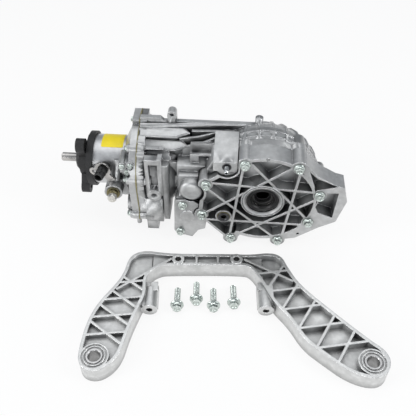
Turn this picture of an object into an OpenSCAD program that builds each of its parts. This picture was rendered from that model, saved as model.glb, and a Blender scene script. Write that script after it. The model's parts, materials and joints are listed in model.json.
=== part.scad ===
/* [Layout] */
// Distance from the input flange face to the axis of the two outputs
axis_x = 320; // [316:0.5:324]
// Height of the input axis above the surface that the unit stands on
axis_h = 108; // [107:0.5:111]
// Distance from the input axis to the near output face
near_face = 90; // [89:0.5:93]
// Distance from the input axis to the far output face
far_face = 72; // [70:0.5:76]
// Distance from the input flange face to the joint between coupling cover and case
joint_x = 108; // [107:0.5:110]
// Distance from the input axis to the joint between side cover and case
split_y = 52; // [51:0.25:53]

/* [Castings] */
// Wall of the clutch bell
bell_wall = 8; // [7:0.5:10]
// Radius of the clutch chamber
chamber_r = 62; // [61.5:0.25:64]
// Radius of the round part of the coupling flange
flange_r = 80; // [79:0.5:82]
// Thickness of the flanges at each joint
flange_t = 12; // [10:0.5:14]
// Wall of the drum over the ring gear
drum_wall = 14; // [13:0.5:15]
// Gap between the ring gear and the drum
drum_gap = 6; // [5:0.5:7]
// Width of the star ribs on the side cover
star_w = 4.5; // [3.5:0.5:6]
// Depth of the pockets between the star ribs
star_depth = 20; // [16:1:21]
// Radius of the cover round each case bolt
bolt_pad_r = 13; // [12:0.5:14]
// Radius of the boss round the near output
out_boss_r = 43; // [41:0.5:45]
// Width of the ribs on the case
rib_w = 6; // [5:0.5:8]

/* [Input] */
// Radius of the pilot that stands out of the input flange
pilot_r = 7.8; // [7:0.2:9]
// Length of the pilot in front of the flange face
pilot_len = 37.5; // [34:0.5:42]
// Radius of the circle of the input flange holes
lug_pitch_r = 50; // [49:0.5:52]
// Radius of each input flange lug
lug_r = 12.5; // [11:0.5:13.5]
// Radius of the holes in the input flange
lug_hole_r = 5.2; // [4.5:0.1:6]
// Thickness of the input flange
lug_t = 15; // [13:0.5:16]
// Radius of the hub of the input flange
hub_r = 24; // [23:0.5:25]
// Radius of the splined seat inside the hub
seat_r = 14; // [13:0.5:15]
// Outer radius of the bearing sleeve
sleeve_r = 43.5; // [43:0.25:45]
// Outer radius of the dust ring
ring_r = 48.5; // [48:0.25:50]

/* [Gears] */
// Teeth on the ring gear
ring_teeth = 31; // [28:1:34]
// Teeth on the pinion
pinion_teeth = 11; // [10:1:12]
// Pitch radius of the ring gear at its outer edge
ring_pitch_r = 74; // [73:0.5:75]
// Width of the ring gear teeth
ring_face = 24; // [20:1:26]
// Spiral angle of the ring gear teeth
spiral = 24; // [15:1:30]
// Teeth on each side gear
side_teeth = 16; // [14:2:18]
// Teeth on each spider gear
spider_teeth = 10; // [10:2:12]
// Pitch radius of the side gears at their outer edge
side_pitch_r = 26; // [25:0.5:26.5]
// Width of the side gear teeth
side_face = 9; // [7:0.5:10]
// Pressure angle of all the teeth
pressure = 22.5; // [20:0.5:25]
// Free play between meshing teeth
backlash = 0.4; // [0.3:0.05:0.6]

/* [Bearings and fits] */
// Radius of the pinion shaft at its head bearing
head_seat_r = 20; // [19:0.5:21]
// Radius of the pinion shaft at its tail bearing
tail_seat_r = 17; // [16:0.5:17.5]
// Outer radius of the head bearing
head_cup_r = 36; // [35:0.5:37]
// Outer radius of the tail bearing
tail_cup_r = 31; // [30:0.5:32]
// Radius of the carrier journals
journal_r = 19; // [18.5:0.5:20]
// Outer radius of the carrier bearings
carrier_cup_r = 31; // [30:0.5:32]
// Outer radius of the output seals
seal_r = 29; // [28.5:0.25:29.5]
// Radius of the bore in each side gear
spline_r = 11; // [10:0.25:12]
// Radius of the cross pin
cross_r = 7; // [6:0.25:7.5]
// Clearance between pieces that are pressed or bolted together
fit = 0.05; // [0.02:0.01:0.08]
// Clearance between pieces that run past each other
run = 0.3; // [0.25:0.05:0.4]

/* [Clutch] */
// Number of steel plates
plates = 6; // [5:1:6]
// Thickness of each clutch plate
plate_t = 2.8; // [2.2:0.1:2.9]
// Pitch from one plate to the next disc
plate_pitch = 3.6; // [3.4:0.1:3.7]
// Radius of the inside of the clutch drum
basket_r = 55; // [54:0.5:56]
// Wall of the clutch drum
basket_wall = 4; // [3:0.5:4.5]
// Radius of the clutch hub
clutch_hub_r = 26; // [25:0.5:27]

/* [Fasteners] */
// Radius of the case bolt shanks
case_bolt_r = 4; // [3.5:0.25:4.5]
// Radius of the case bolt flanges
case_flange_r = 8.9; // [8:0.1:9.5]
// Height of the case bolt heads
case_head_h = 8.5; // [7:0.5:9]
// Radius of the small screw shanks
screw_r = 3; // [2.5:0.25:3.5]
// Radius of the small screw flanges
screw_flange_r = 6.6; // [6:0.2:7]
// Radius of the bracket bolt shanks
kit_bolt_r = 5; // [4.5:0.25:5.5]
// Radius of the bracket bolt flanges
kit_flange_r = 10.9; // [10:0.1:11.5]
// Length of the bracket bolts under the head
kit_bolt_len = 36; // [30:1:38]

/* [Bracket] */
// Height of the mounting bracket
bracket_h = 31; // [28:1:34]
// Depth of its pockets
bracket_pocket = 22; // [18:1:23]
// Width of the rim round its pockets
bracket_rim = 5; // [4:0.5:6]
// Width of its lattice ribs
lattice_w = 4; // [3:0.5:5]
// Radius of the bores in its bush ends
bush_bore_r = 9; // [8:0.5:10]
// Outer radius of the steel bush inserts
bush_r = 15; // [14:0.5:16]

/* [Hidden] */
$fn = 48;
cut = 1;
floor_z = -axis_h;

// Places of the eight case bolts round the output axis
foot_bolt_z = floor_z + bolt_pad_r;
case_bolts = [[53, 76], [92, 19], [80, -45], [32, foot_bolt_z], [-51, foot_bolt_z], [-101, -39],
    [-94, 31], [-32, 78]];
star_step = 3;
cover_y = -near_face + 2;
cover_t = -cover_y - split_y;

// Coupling flange and the bolts that hold it
lobe_at = [-44, -60];
lobe_r = 31;
flange_bolt_r = flange_r - 8;
flange_bolt_angles = [-155, -112, -70, -32, 34, 76];
lobe_bolts = [[-72, -62], [-36, -84]];
seal_t = 1;
case_x = joint_x + seal_t;
cover_front_x = joint_x - 24;
can_front_x = 20;
bell_x = case_x + 48;
bell_r = chamber_r + bell_wall;

// Drum over the ring gear
ring_cone = atan(ring_teeth / pinion_teeth);
pinion_cone = 90 - ring_cone;
ring_dist = ring_pitch_r / sin(ring_cone);
ring_module = 2 * ring_pitch_r / ring_teeth;
pinion_pitch_r = ring_module * pinion_teeth / 2;
ring_add = 0.45 * ring_module;
pinion_add = 1.2 * ring_module;
tooth_gap = 0.2 * ring_module;
ring_ded = pinion_add + tooth_gap;
pinion_ded = ring_add + tooth_gap;
ring_back_y = -ring_dist * cos(ring_cone) - 17;
pinion_thick = PI * ring_module * 0.58 - backlash / 2;
ring_thick = PI * ring_module * 0.42 - backlash / 2;
drum_r = ring_pitch_r + drum_gap + drum_wall;
drum_in_r = drum_r - drum_wall;

// Differential
side_cone = atan(side_teeth / spider_teeth);
spider_cone = 90 - side_cone;
side_dist = side_pitch_r / sin(side_cone);
side_module = 2 * side_pitch_r / side_teeth;
spider_pitch_r = side_module * spider_teeth / 2;
side_thick = PI * side_module * 0.46 - backlash / 2;
spider_thick = PI * side_module * 0.54 - backlash / 2;
side_back = side_dist * cos(side_cone) + 9.5;
cage_r = side_dist + 3.6;
carrier_r = cage_r + 11;
carrier_flange_t = 9;
carrier_flange_r = ring_pitch_r - 8;
ring_bore_r = carrier_r + 1;
ring_bolt_r = (ring_bore_r + carrier_flange_r) / 2 - 0.5;
near_journal_y = ring_back_y - carrier_flange_t;
bearing_w = 15;
near_bearing_y = cover_y + 10;
far_bearing_y = far_face - 12;

// Pinion and its bearings
head_bearing_w = 19;
tail_bearing_w = 17;
pinion_back_x = ring_dist * cos(pinion_cone) + 7;
head_bearing_x = axis_x - pinion_back_x - head_bearing_w - 1;
tail_bearing_x = case_x + 59;
tube_r = head_cup_r + 11;
shaft_end_x = case_x - 4;

// Places on the covers
fill_at = [-64, -42];
fill_r = 8.5;
fill_boss_r = 14;
ear_hole_at = [57, -86];
ear_hole_r = 2.5;
barrel_x = 66;
barrel_y = 72;
barrel_z = -13;
barrel_r = 15.5;
barrel_bore_r = 8;
pump_pad_y = 66;
label_x = 40;
label_len = 38;
connector_x = 50;
connector_y = 56;
connector_z = 26;
connector_r = 9;
connector_turn = -12;

// Places on the bracket, from the middle of its crossbar
kit_at = [233, -155];
kit_turn = 4;
bush_at = [[-167, -183], [243, -193]];
side_boss_at = [[-93, -90], [94, -92]];
side_boss_r = 13;
side_boss_len = 38;
cross_hole_x = 49;
cross_boss_r = 10.5;
kit_bolts_at = [[-49, -78], [-18, -66], [10, -79], [43, -73]];
bolt_lean = asin((kit_flange_r - kit_bolt_r) / kit_bolt_len);

// Inner pieces
roller_slope = 2.5;
hub_spline_r = seat_r;
side_hub_r = journal_r - 4.5;
lug_angles = [-125, -5, 115];

// Input bearing and seal inside the sleeve
input_bearing_x = 44;
input_bearing_w = 20;
input_bearing_r = sleeve_r - 7.5;
input_seat_r = 17.5;
input_seal_r = 31;
basket_x = joint_x - 16;
first_plate_x = basket_x + 8;
pack_len = (2 * plates - 1) * plate_pitch;
pressure_x = first_plate_x + pack_len + 1;
thrust_x = pressure_x + 4 + run;
piston_x = thrust_x + 4.5 + run;

// Places on the main case
neck_r = seal_r + 13;
rib_end_y = far_face - 19;
screw_pad_r = 9.5;
top_block_z = 88;
top_block_w = 34;
foot_y = 54;
foot_w = 20;
chamber_end_x = piston_x - run;
spine_z = 86;
post_x = 163;
post_z = 108;
boss_z = 99;
near_pad_y = 79;
dome_at = [-121, -1];
dome_x = axis_x + dome_at[0];
dome_y = 88;
dome_r = 17.5;
vent_at = [-61, 68];
vent_lug_r = 15;
vent_face = 84;
vent_r = 3.8;
access_bolts = [[-139, -22], [-141, -84], [-110, -74]];
access_pad_r = 10;
access_y = 78;
access_t = 7;
far_mount_at = [axis_x - 18, 40];

aluminium = [0.74, 0.75, 0.76];
bright = [0.82, 0.83, 0.84];
steel = [0.62, 0.63, 0.65];
dark_steel = [0.4, 0.41, 0.43];
zinc = [0.78, 0.82, 0.8];
black = [0.12, 0.12, 0.13];

// Solids along the main axes
module rod_x(x0, x1, r, y = 0, z = 0, sides = 0)
    translate([x0, y, z]) rotate([0, 90, 0]) rod(x1 - x0, r, sides);

module rod_y(y0, y1, r, x = 0, z = 0, sides = 0)
    translate([x, y1, z]) rotate([90, 0, 0]) rod(y1 - y0, r, sides);

module rod_z(z0, z1, r, x = 0, y = 0, sides = 0)
    translate([x, y, z0]) rod(z1 - z0, r, sides);

module rod(len, r, sides)
    if (sides == 0) cylinder(h = len, r = r);
    else cylinder(h = len, r = r, $fn = sides);

module ring_x(x0, x1, outer, inner) difference() {
    rod_x(x0, x1, outer);
    rod_x(x0 - cut, x1 + cut, inner);
}

module ring_y(y0, y1, outer, inner) difference() {
    rod_y(y0, y1, outer);
    rod_y(y0 - cut, y1 + cut, inner);
}

// A drawing in the Y and Z plane, carried along X
module plate_x(x0, x1) translate([x0, 0, 0]) rotate([90, 0, 90]) linear_extrude(x1 - x0) children();

// A drawing in the X and Z plane, carried along Y
module plate_y(y0, y1) translate([0, y1, 0]) rotate([90, 0, 0]) linear_extrude(y1 - y0) children();

// A profile of [radius, x] turned round the input axis
module turn_x(points) rotate([0, 90, 0]) rotate_extrude() polygon(points);

// A profile of [radius, y] turned round the output axis
module turn_y(points) translate([axis_x, 0, 0]) rotate([-90, 0, 0]) rotate_extrude() polygon(points);

function around(angle, r) = [-r * sin(angle), r * cos(angle)];

// A straight bar in a drawing, from one point to another
module bar(from, to, w) {
    span = to - from;
    translate(from) rotate(atan2(span[1], span[0])) translate([0, -w / 2]) square([norm(span), w]);
}

// A flange bolt whose shank points along +Z from the underside of its head
module flange_bolt(shank_r, flange_r, head_h, shank_len) {
    cylinder(h = shank_len, r = shank_r);
    translate([0, 0, -head_h]) cylinder(h = head_h * 0.8, r = flange_r * 0.72, $fn = 6);
    translate([0, 0, -head_h * 0.25]) cylinder(h = head_h * 0.25, r = flange_r);
    translate([0, 0, -head_h * 0.5]) cylinder(h = head_h * 0.25, r1 = flange_r * 0.74, r2 = flange_r);
}

// Cone-shaped gears
// Half the angle of a tooth at a height above its pitch line, as an involute on the back cone
function involute(a) = tan(a) * 180 / PI - a;
function back_r(pitch_r, cone) = pitch_r / cos(cone);
function roll_angle(r, base) = r <= base ? 0 : acos(base / r);
function half_tooth(h, pitch_r, cone, thick) =
    let (v = back_r(pitch_r, cone), half = thick / 2 / v * 180 / PI)
    (half + involute(pressure) - involute(roll_angle(v + h, v * cos(pressure)))) / cos(cone);

// One point of a tooth, at a distance from the apex and a height above the pitch cone
function cone_point(dist, h, angle, cone) =
    let (r = dist * sin(cone) + h * cos(cone))
    [r * cos(angle), r * sin(angle), dist * cos(cone) - h * sin(cone)];

function twist_at(dist, mid, cone, beta) = tan(beta) * ln(dist / mid) * 180 / PI / sin(cone);

module bevel_tooth(pitch_r, cone, face, thick, add, ded, beta, slices) {
    heel = pitch_r / sin(cone);
    toe = heel - face;
    heights = [-ded - 1, 0, add];
    halves = [for (h = heights) half_tooth(h, pitch_r, cone, thick)];
    order = [0, 1, 2, 2, 1, 0];
    side = [1, 1, 1, -1, -1, -1];
    points = [for (k = [0:slices], j = [0:5])
        let (dist = toe + face * k / slices, scale = dist / heel)
        cone_point(dist, heights[order[j]] * scale,
            side[j] * halves[order[j]] + twist_at(dist, heel - face / 2, cone, beta), cone)];
    sides = [for (k = [0:slices - 1], j = [0:5])
        let (a = 6 * k + j, b = 6 * k + (j + 1) % 6)
        each [[a, b, b + 6], [a, b + 6, a + 6]]];
    toe_end = [[5, 4, 1], [5, 1, 0], [4, 3, 2], [4, 2, 1]];
    last = 6 * slices;
    heel_end = [for (f = toe_end) [f[2] + last, f[1] + last, f[0] + last]];
    polyhedron(points, concat(sides, toe_end, heel_end));
}

// Teeth round a gear, with a tooth or a gap in line with the start
module bevel_teeth(count, pitch_r, cone, face, thick, add, ded, beta, slices, gap_first)
    for (i = [0:count - 1]) rotate((i + (gap_first ? 0.5 : 0)) * 360 / count)
        bevel_tooth(pitch_r, cone, face, thick, add, ded, beta, slices);

// Root cone of a gear, from its toe to its heel, closed behind by a back face
module root_blank(pitch_r, cone, face, ded, back, bore) {
    heel = pitch_r / sin(cone);
    toe = heel - face;
    inner = cone_point(toe - 1, -ded * toe / heel, 0, cone);
    outer = cone_point(heel + 0.6, -ded, 0, cone);
    rotate_extrude() polygon([[bore, inner[2]], [inner[0], inner[2]], [outer[0], outer[2]],
        [outer[0], back], [bore, back]]);
}

// Outline of the side cover joint, in X and Z from the output axis
module case_outline(grow = 0) translate([axis_x, 0]) difference() {
    hull() for (b = case_bolts) translate(b) circle(r = bolt_pad_r + grow, $fn = 32);
    translate(vent_at) circle(r = vent_lug_r + run - grow / 2);
    translate(dome_at) circle(r = dome_r + run - grow / 2);
}

// Outline of the coupling joint, in Y and Z
module coupling_outline() {
    hull() {
        circle(r = flange_r, $fn = 96);
        translate(lobe_at) circle(r = lobe_r, $fn = 48);
    }
    for (p = coupling_bolts()) translate(p) circle(r = screw_pad_r);
    translate([0, flange_r - 20]) square([top_block_w, top_block_z - flange_r + 20]);
}

function coupling_bolts() =
    concat([for (a = flange_bolt_angles) around(a, flange_bolt_r)], lobe_bolts);

module case_bolt_holes(y0, y1)
    for (b = case_bolts) rod_y(y0, y1, case_bolt_r + fit, axis_x + b[0], b[1]);

module coupling_bolt_holes(x0, x1)
    for (p = coupling_bolts()) rod_x(x0, x1, screw_r + fit, p[0], p[1]);

// Main case: drum, pinion tube and clutch bell in one casting
module drum_outside() turn_y([
    [0, -split_y], [drum_r + 1, -split_y], [drum_r, -10], [drum_r - 5, 5], [drum_r - 18, 24],
    [neck_r + 14, far_face - 34], [neck_r + 4, far_face - 22], [neck_r, far_face], [0, far_face]]);

module drum_inside() turn_y([
    [0, -split_y - cut], [drum_in_r, -split_y - cut], [drum_in_r - 1, -8], [drum_in_r - 6, 2],
    [drum_in_r - 20, 20], [neck_r + 4, far_face - 38], [seal_r + 3, far_face - 32], [0, far_face - 32]]);

module bell_outside() turn_x([
    [0, case_x], [bell_r + 2, case_x], [bell_r, bell_x], [tube_r + 6, bell_x + 20], [tube_r, bell_x + 34],
    [tube_r + 1, axis_x - 60], [0, axis_x - 60]]);

module clutch_room() {
    rod_x(case_x - cut, chamber_end_x, chamber_r);
    difference() {
        rod_x(chamber_end_x - cut, piston_x + 10, basket_r + 1);
        rod_x(chamber_end_x - 2 * cut, piston_x + 10 + cut, tail_cup_r + 5);
    }
}

module pinion_room() {
    rod_x(chamber_end_x - cut, tail_bearing_x + tail_bearing_w, tail_cup_r + fit);
    rod_x(tail_bearing_x, axis_x - 60, head_cup_r - 7);
    rod_x(head_bearing_x, axis_x - 50, head_cup_r + fit);
}

// Long bosses that run back from the coupling bolts, with a rib on to the drum
module rail(angle, r, len, rib_to) {
    p = around(angle, flange_bolt_r + 1);
    rod_x(case_x, case_x + len, r, p[0], p[1]);
    plate_y(p[0] - 2.5, p[0] + 2.5) polygon([[case_x + 10, 20], [case_x + 10, p[1] + r - 1],
        [case_x + len, p[1] + r - 1], [rib_to, p[1] + r + 2], [rib_to, 20]]);
}

module top_spine() plate_y(4, 12) polygon([
    [case_x, 30], [case_x, spine_z + 6], [case_x + 34, spine_z + 6], [case_x + 40, spine_z],
    [axis_x - 12, spine_z], [axis_x + 6, 60], [axis_x + 6, 30]]);

module lifting_post(x) {
    plate_y(2, 16) {
        translate([x - 7.5, 60]) square([15, post_z - 67.5]);
        translate([x, post_z - 7.5]) circle(r = 7.5);
    }
}

// Ribbed pad on the near side of the bell
module near_pad() {
    plate_y(-near_pad_y, -40) {
        translate([case_x + 16, -8]) square([rib_w, 74]);
        translate([case_x + 37, -8]) square([rib_w + 1, 80]);
        translate([case_x + 16, 60]) square([26, 10]);
        translate([case_x + 12, -72]) square([30, 54]);
    }
    rod_y(-near_pad_y - 3, -40, 12, case_x + 29, -6);
    plate_y(-near_pad_y + 12, -40) translate([case_x + 16, -8]) square([26, 70]);
}

module cross_wall() plate_y(-near_pad_y + 1, 30) translate([bell_x - 4, -66]) square([9, 124]);

// Domed boss beside the side cover
module domed_boss() {
    translate([dome_x, 0, dome_at[1]]) rotate([90, 0, 0]) rotate_extrude() polygon([
        [0, 20], [dome_r, 20], [dome_r, dome_y - 8], [dome_r - 1.5, dome_y - 4], [dome_r - 5, dome_y - 1.5],
        [dome_r - 10, dome_y], [0, dome_y]]);
    rod_y(-split_y - 6, -20, dome_r + 3.5, dome_x - 4, dome_at[1] + 5);
}

// Lug above the side cover that takes the vent pin
module vent_lug() {
    rod_y(-vent_face, -10, vent_lug_r, axis_x + vent_at[0], vent_at[1]);
    rod_y(-split_y, -10, vent_lug_r + 6, axis_x + vent_at[0] - 2, vent_at[1] - 4);
}

module access_outline() translate([axis_x, 0])
    hull() for (p = access_bolts) translate(p) circle(r = access_pad_r, $fn = 32);

module feet() {
    plate_x(case_x + 9, case_x + 9 + foot_w) for (side = [-1, 1])
        translate([side * foot_y - foot_w / 2, floor_z]) square([foot_w, -floor_z - flange_r * 0.72]);
    plate_x(case_x + 14, case_x + 20) polygon([[foot_y - 10, floor_z + 20], [foot_y, -40], [0, -bell_r + 4],
        [20, -bell_r + 2]]);
}

module far_mount() {
    rod_z(floor_z, -30, 13, far_mount_at[0], far_mount_at[1]);
    plate_y(far_mount_at[1] - 4, far_mount_at[1] + 4) polygon([
        [far_mount_at[0] - 46, -40], [far_mount_at[0], floor_z + 14], [far_mount_at[0] + 60, -40]]);
}

// Ribs that lie on the drum between the side cover joint and the far neck
module drum_ribs() for (a = [-35:14:105]) translate([axis_x, 0, 0]) rotate([0, a, 0])
    translate([-2, 0, 0]) rotate([90, 0, 90]) linear_extrude(4) polygon([
        [-split_y + 4, drum_r - 8], [-split_y + 4, drum_r + 3], [-10, drum_r + 1], [6, drum_r - 3],
        [26, drum_r - 15], [rib_end_y, neck_r + 8], [rib_end_y, neck_r - 6], [0, drum_r - 20]]);

module main_case() color(aluminium) difference() {
    union() {
        drum_outside();
        bell_outside();
        plate_y(-split_y, -split_y + flange_t) case_outline();
        for (b = case_bolts) rod_y(-split_y, -split_y + 36, bolt_pad_r - 2.5, axis_x + b[0], b[1]);
        plate_x(case_x, case_x + flange_t) coupling_outline();
        for (p = coupling_bolts()) rod_x(case_x, case_x + 24, screw_pad_r - 1, p[0], p[1]);
        rail(8, 8.5, 86, axis_x - 52);
        rail(26, 8, 86, axis_x - 60);
        rail(42, 8, 52, axis_x - 80);
        top_spine();
        lifting_post(post_x);
        rod_z(60, boss_z, 6.5, axis_x - 12, 8);
        near_pad();
        cross_wall();
        vent_lug();
        difference() {
            union() {
                domed_boss();
                plate_y(-access_y, -40) access_outline();
            }
            plate_y(-near_face, -split_y) case_outline(run);
        }
        far_mount();
        feet();
        drum_ribs();
    }
    drum_inside();
    clutch_room();
    pinion_room();
    rod_y(far_face - 12 - bearing_w - 6, far_face - 12, carrier_cup_r + fit, axis_x);
    rod_y(far_face - 32, far_face + cut, seal_r - 3, axis_x);
    rod_y(far_face - 10, far_face + cut, seal_r + fit, axis_x);
    case_bolt_holes(-split_y - cut, -split_y + 26);
    coupling_bolt_holes(case_x - cut, case_x + 18);
    rod_y(-near_pad_y - 4, -near_pad_y + 14, 5, case_x + 29, -6);
    rod_y(-vent_face - cut, -vent_face + 12, vent_r + fit, axis_x + vent_at[0], vent_at[1]);
    for (p = access_bolts) rod_y(-access_y - cut, -access_y + 16, screw_r + fit, axis_x + p[0], p[1]);
    rod_z(floor_z - cut, floor_z + 22, kit_bolt_r, far_mount_at[0], far_mount_at[1]);
    rod_y(-cut, 20, 3.2, post_x, post_z - 7.5);
}

// Side cover: a flanged plate with star ribs, an output boss and a mounting ear
module star_ribs() for (i = [0:len(case_bolts) - 1])
    bar(case_bolts[i], case_bolts[(i + star_step) % len(case_bolts)], star_w);

module star_pockets() translate([axis_x, 0]) difference() {
    hull() for (b = case_bolts) translate(b * (1 - 4 / norm(b))) circle(r = bolt_pad_r - 6, $fn = 32);
    circle(r = out_boss_r);
    for (b = case_bolts) translate(b) circle(r = bolt_pad_r - 2);
    star_ribs();
    translate(fill_at) circle(r = fill_boss_r);
}

module ear_outline() translate([axis_x, 0])
    polygon([[48, 78], [104, 78], [118, 74], [131, 34], [133, 5], [125, -42], [108, -50], [80, -50]]);

module ear_pockets() translate([axis_x, 0]) {
    polygon([[84, 68], [108, 68], [117, 46], [103, 34]]);
    polygon([[108, 22], [121, 24], [122, -2], [116, -34], [102, -32], [97, -20], [106, 0]]);
}

module side_cover() color(aluminium) difference() {
    union() {
        difference() {
            plate_y(cover_y, -split_y) {
                case_outline();
                ear_outline();
            }
            plate_y(cover_y - cut, cover_y + star_depth) star_pockets();
            plate_y(cover_y - cut, cover_y + star_depth + 4) ear_pockets();
        }
        rod_y(-near_face, -split_y, out_boss_r, axis_x);
    }
    rod_y(cover_y + star_depth + 5, -split_y + cut, drum_in_r, axis_x);
    rod_y(near_bearing_y, -split_y, carrier_cup_r + fit, axis_x);
    rod_y(-near_face - cut, -split_y, seal_r - 3, axis_x);
    rod_y(-near_face - cut, near_bearing_y - 2, seal_r + fit, axis_x);
    translate([axis_x, -near_face + 2.5, 0]) rotate([90, 0, 0]) cylinder(h = 3, r1 = seal_r, r2 = seal_r + 4);
    case_bolt_holes(cover_y - cut, -split_y + cut);
    rod_y(cover_y - cut, -split_y, fill_r + fit, axis_x + fill_at[0], fill_at[1]);
    rod_y(cover_y - cut, cover_y + 16, ear_hole_r, axis_x + ear_hole_at[0], ear_hole_at[1]);
}

// Front casting over the clutch, with the pump lobe and its barrel
module coupling_cover() color(aluminium) difference() {
    union() {
        plate_x(joint_x - flange_t, joint_x) coupling_outline();
        turn_x([[0, cover_front_x], [sleeve_r + 7, cover_front_x], [sleeve_r + 15, cover_front_x + 4],
            [flange_r - 6, joint_x - flange_t + 1], [0, joint_x - flange_t + 1]]);
        plate_x(cover_front_x + 2, joint_x - flange_t + 1) translate(lobe_at) circle(r = lobe_r - 7);
        for (p = coupling_bolts()) rod_x(joint_x - flange_t - 4, joint_x - 1, screw_pad_r - 1, p[0], p[1]);
        pump_barrel();
        pump_pad();
        rod_z(floor_z + 3, -60, 4.2, joint_x - 7, -52);
    }
    rod_x(0, cover_front_x, sleeve_r + fit);
    for (p = coupling_bolts()) rod_x(0, joint_x - flange_t - 4, screw_flange_r + 1, p[0], p[1]);
    rod_x(cover_front_x + 6, joint_x + cut, chamber_r);
    rod_x(cover_front_x - cut, cover_front_x + 7, input_bearing_r - 4);
    coupling_bolt_holes(cover_front_x - cut, joint_x + cut);
    rod_y(-barrel_y - cut, -barrel_y + 22, barrel_bore_r + fit, barrel_x, barrel_z);
    for (p = pump_screw_places()) {
        rod_y(-pump_pad_y - cut, -pump_pad_y + 11, screw_r - 0.9, p[0], p[1]);
        rod_y(-near_face, -pump_pad_y, screw_flange_r - 0.9, p[0], p[1]);
    }
}

// Round boss for the barrel plug, and the cast tube that leaves it upwards
module pump_barrel() {
    rod_y(-barrel_y, -30, barrel_r, barrel_x, barrel_z);
    rod_y(-barrel_y + 18, -30, barrel_r + 2, barrel_x + 16, barrel_z - 4);
    translate([barrel_x, -barrel_y + 14, barrel_z]) rotate([-32, 8, 0]) cylinder(h = 48, r = 8.5);
}

function pump_screw_places() = [[cover_front_x + 1, 42], [cover_front_x + 15, 44], [cover_front_x + 9, 30]];

module pump_pad() {
    plate_y(-pump_pad_y, -30) for (p = pump_screw_places()) translate(p) circle(r = 7.5);
    plate_y(-pump_pad_y + 3, -30) translate([cover_front_x - 4, 26]) square([26, 22]);
}

// Bare metal sleeve that holds the input bearing and seal
module bearing_sleeve() color(bright) turn_x([
    [input_seal_r + fit, can_front_x], [sleeve_r - 1, can_front_x], [sleeve_r, can_front_x + 1],
    [sleeve_r, cover_front_x], [input_bearing_r - 3.5, cover_front_x],
    [input_bearing_r - 3.5, input_bearing_x + input_bearing_w],
    [input_bearing_r + fit, input_bearing_x + input_bearing_w], [input_bearing_r + fit, input_bearing_x],
    [input_seal_r - 3, input_bearing_x], [input_seal_r - 3, can_front_x + 11],
    [input_seal_r + fit, can_front_x + 11]]);

module plain_label() color([0.95, 0.82, 0.1]) rotate([0, 90, 0]) translate([0, 0, label_x])
    rotate(180 - 48) rotate_extrude(angle = 70)
        translate([sleeve_r + fit, 0]) square([0.3, label_len]);

module joint_sealant() color([0.42, 0.4, 0.24]) difference() {
    plate_x(joint_x, case_x) coupling_outline();
    rod_x(joint_x - cut, case_x + cut, chamber_r);
    coupling_bolt_holes(joint_x - cut, case_x + cut);
}

module bolt_along_y(shank_r, flange_r, head_h, len, x, y, z)
    translate([x, y, z]) rotate([-90, 0, 0]) flange_bolt(shank_r, flange_r, head_h, len);

module side_cover_bolts() color(zinc) for (b = case_bolts)
    bolt_along_y(case_bolt_r, case_flange_r, case_head_h, cover_t + 15, axis_x + b[0], cover_y, b[1]);

module coupling_cover_bolts() color(zinc) for (p = coupling_bolts())
    translate([joint_x - flange_t - 4, p[0], p[1]]) rotate([0, 90, 0])
        flange_bolt(screw_r, screw_flange_r, 6, flange_t + 18);

module access_cover() color(aluminium) difference() {
    union() {
        plate_y(-access_y - access_t, -access_y) access_outline();
        rod_y(-access_y - access_t - 1.5, -access_y, 13, axis_x - 126, -48);
    }
    plate_y(-near_face, -access_y + cut) case_outline(run);
    rod_y(-near_face, -access_y + cut, dome_r + 1, dome_x, dome_at[1]);
    for (p = access_bolts) rod_y(-access_y - access_t - cut, -access_y + cut, screw_r + fit, axis_x + p[0], p[1]);
}

module access_cover_bolts() color(zinc) for (p = access_bolts)
    bolt_along_y(screw_r, case_flange_r - 1, 7, access_t + 14, axis_x + p[0], -access_y - access_t, p[1]);

// Plug in the pump barrel, with its plated thread showing
module barrel_plug() color(bright) {
    rod_y(-barrel_y - 9, -barrel_y + 20, barrel_bore_r, barrel_x, barrel_z);
    rod_y(-barrel_y - 17, -barrel_y - 9, barrel_bore_r + 0.6, barrel_x, barrel_z, 6);
}

module plug_washer() color([0.62, 0.52, 0.25]) translate([barrel_x, 0, barrel_z])
    ring_y(-barrel_y - 2.5, -barrel_y, barrel_bore_r + 3.5, barrel_bore_r + fit);

// Round two-pin connector on its sheet metal bracket
module connector() color(black) translate([connector_x, -connector_y, connector_z]) rotate([0, 0, connector_turn])
    rotate([90, 0, 0]) difference() {
        union() {
            translate([0, 0, -12]) cylinder(h = 40, r = connector_r);
            translate([0, 0, -4]) cylinder(h = 4, r = connector_r + 2.5);
            translate([-3, connector_r - 2, 4]) cube([6, 4, 20]);
        }
        translate([0, 0, 12]) difference() {
            cylinder(h = 20, r = connector_r - 2.2);
            translate([0, 0, -cut]) cylinder(h = 11, r = 2.8);
        }
    }

module connector_bracket() color(steel) difference() {
    bracket_sheet();
    rod_y(-barrel_y - cut, 0, barrel_r + run, barrel_x, barrel_z);
}

module bracket_sheet() translate([connector_x, -connector_y, connector_z])
    rotate([0, 0, connector_turn]) rotate([90, 0, 0]) difference() {
        linear_extrude(2.5) difference() {
            union() {
                circle(r = connector_r + 5);
                bar([0, -6], [-16, -8], 13);
                translate([-17, -8]) circle(r = 8);
                bar([0, -6], [16, -24], 14);
            }
            translate([-17, -8]) circle(r = 3.6);
            circle(r = connector_r + fit);
        }
    }

module pump_screws() color(zinc) for (p = pump_screw_places())
    bolt_along_y(screw_r - 1, screw_flange_r - 1.2, 4.5, 10, p[0], -pump_pad_y, p[1]);

// Oil plug with an internal hexagon
module fill_plug() color(dark_steel) translate([axis_x + fill_at[0], cover_y, fill_at[1]]) rotate([90, 0, 0])
    difference() {
        union() {
            translate([0, 0, -14]) cylinder(h = 14, r = fill_r);
            cylinder(h = 3, r = fill_r + 2);
        }
        translate([0, 0, -7]) cylinder(h = 12, r = 5.2, $fn = 6);
    }

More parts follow.
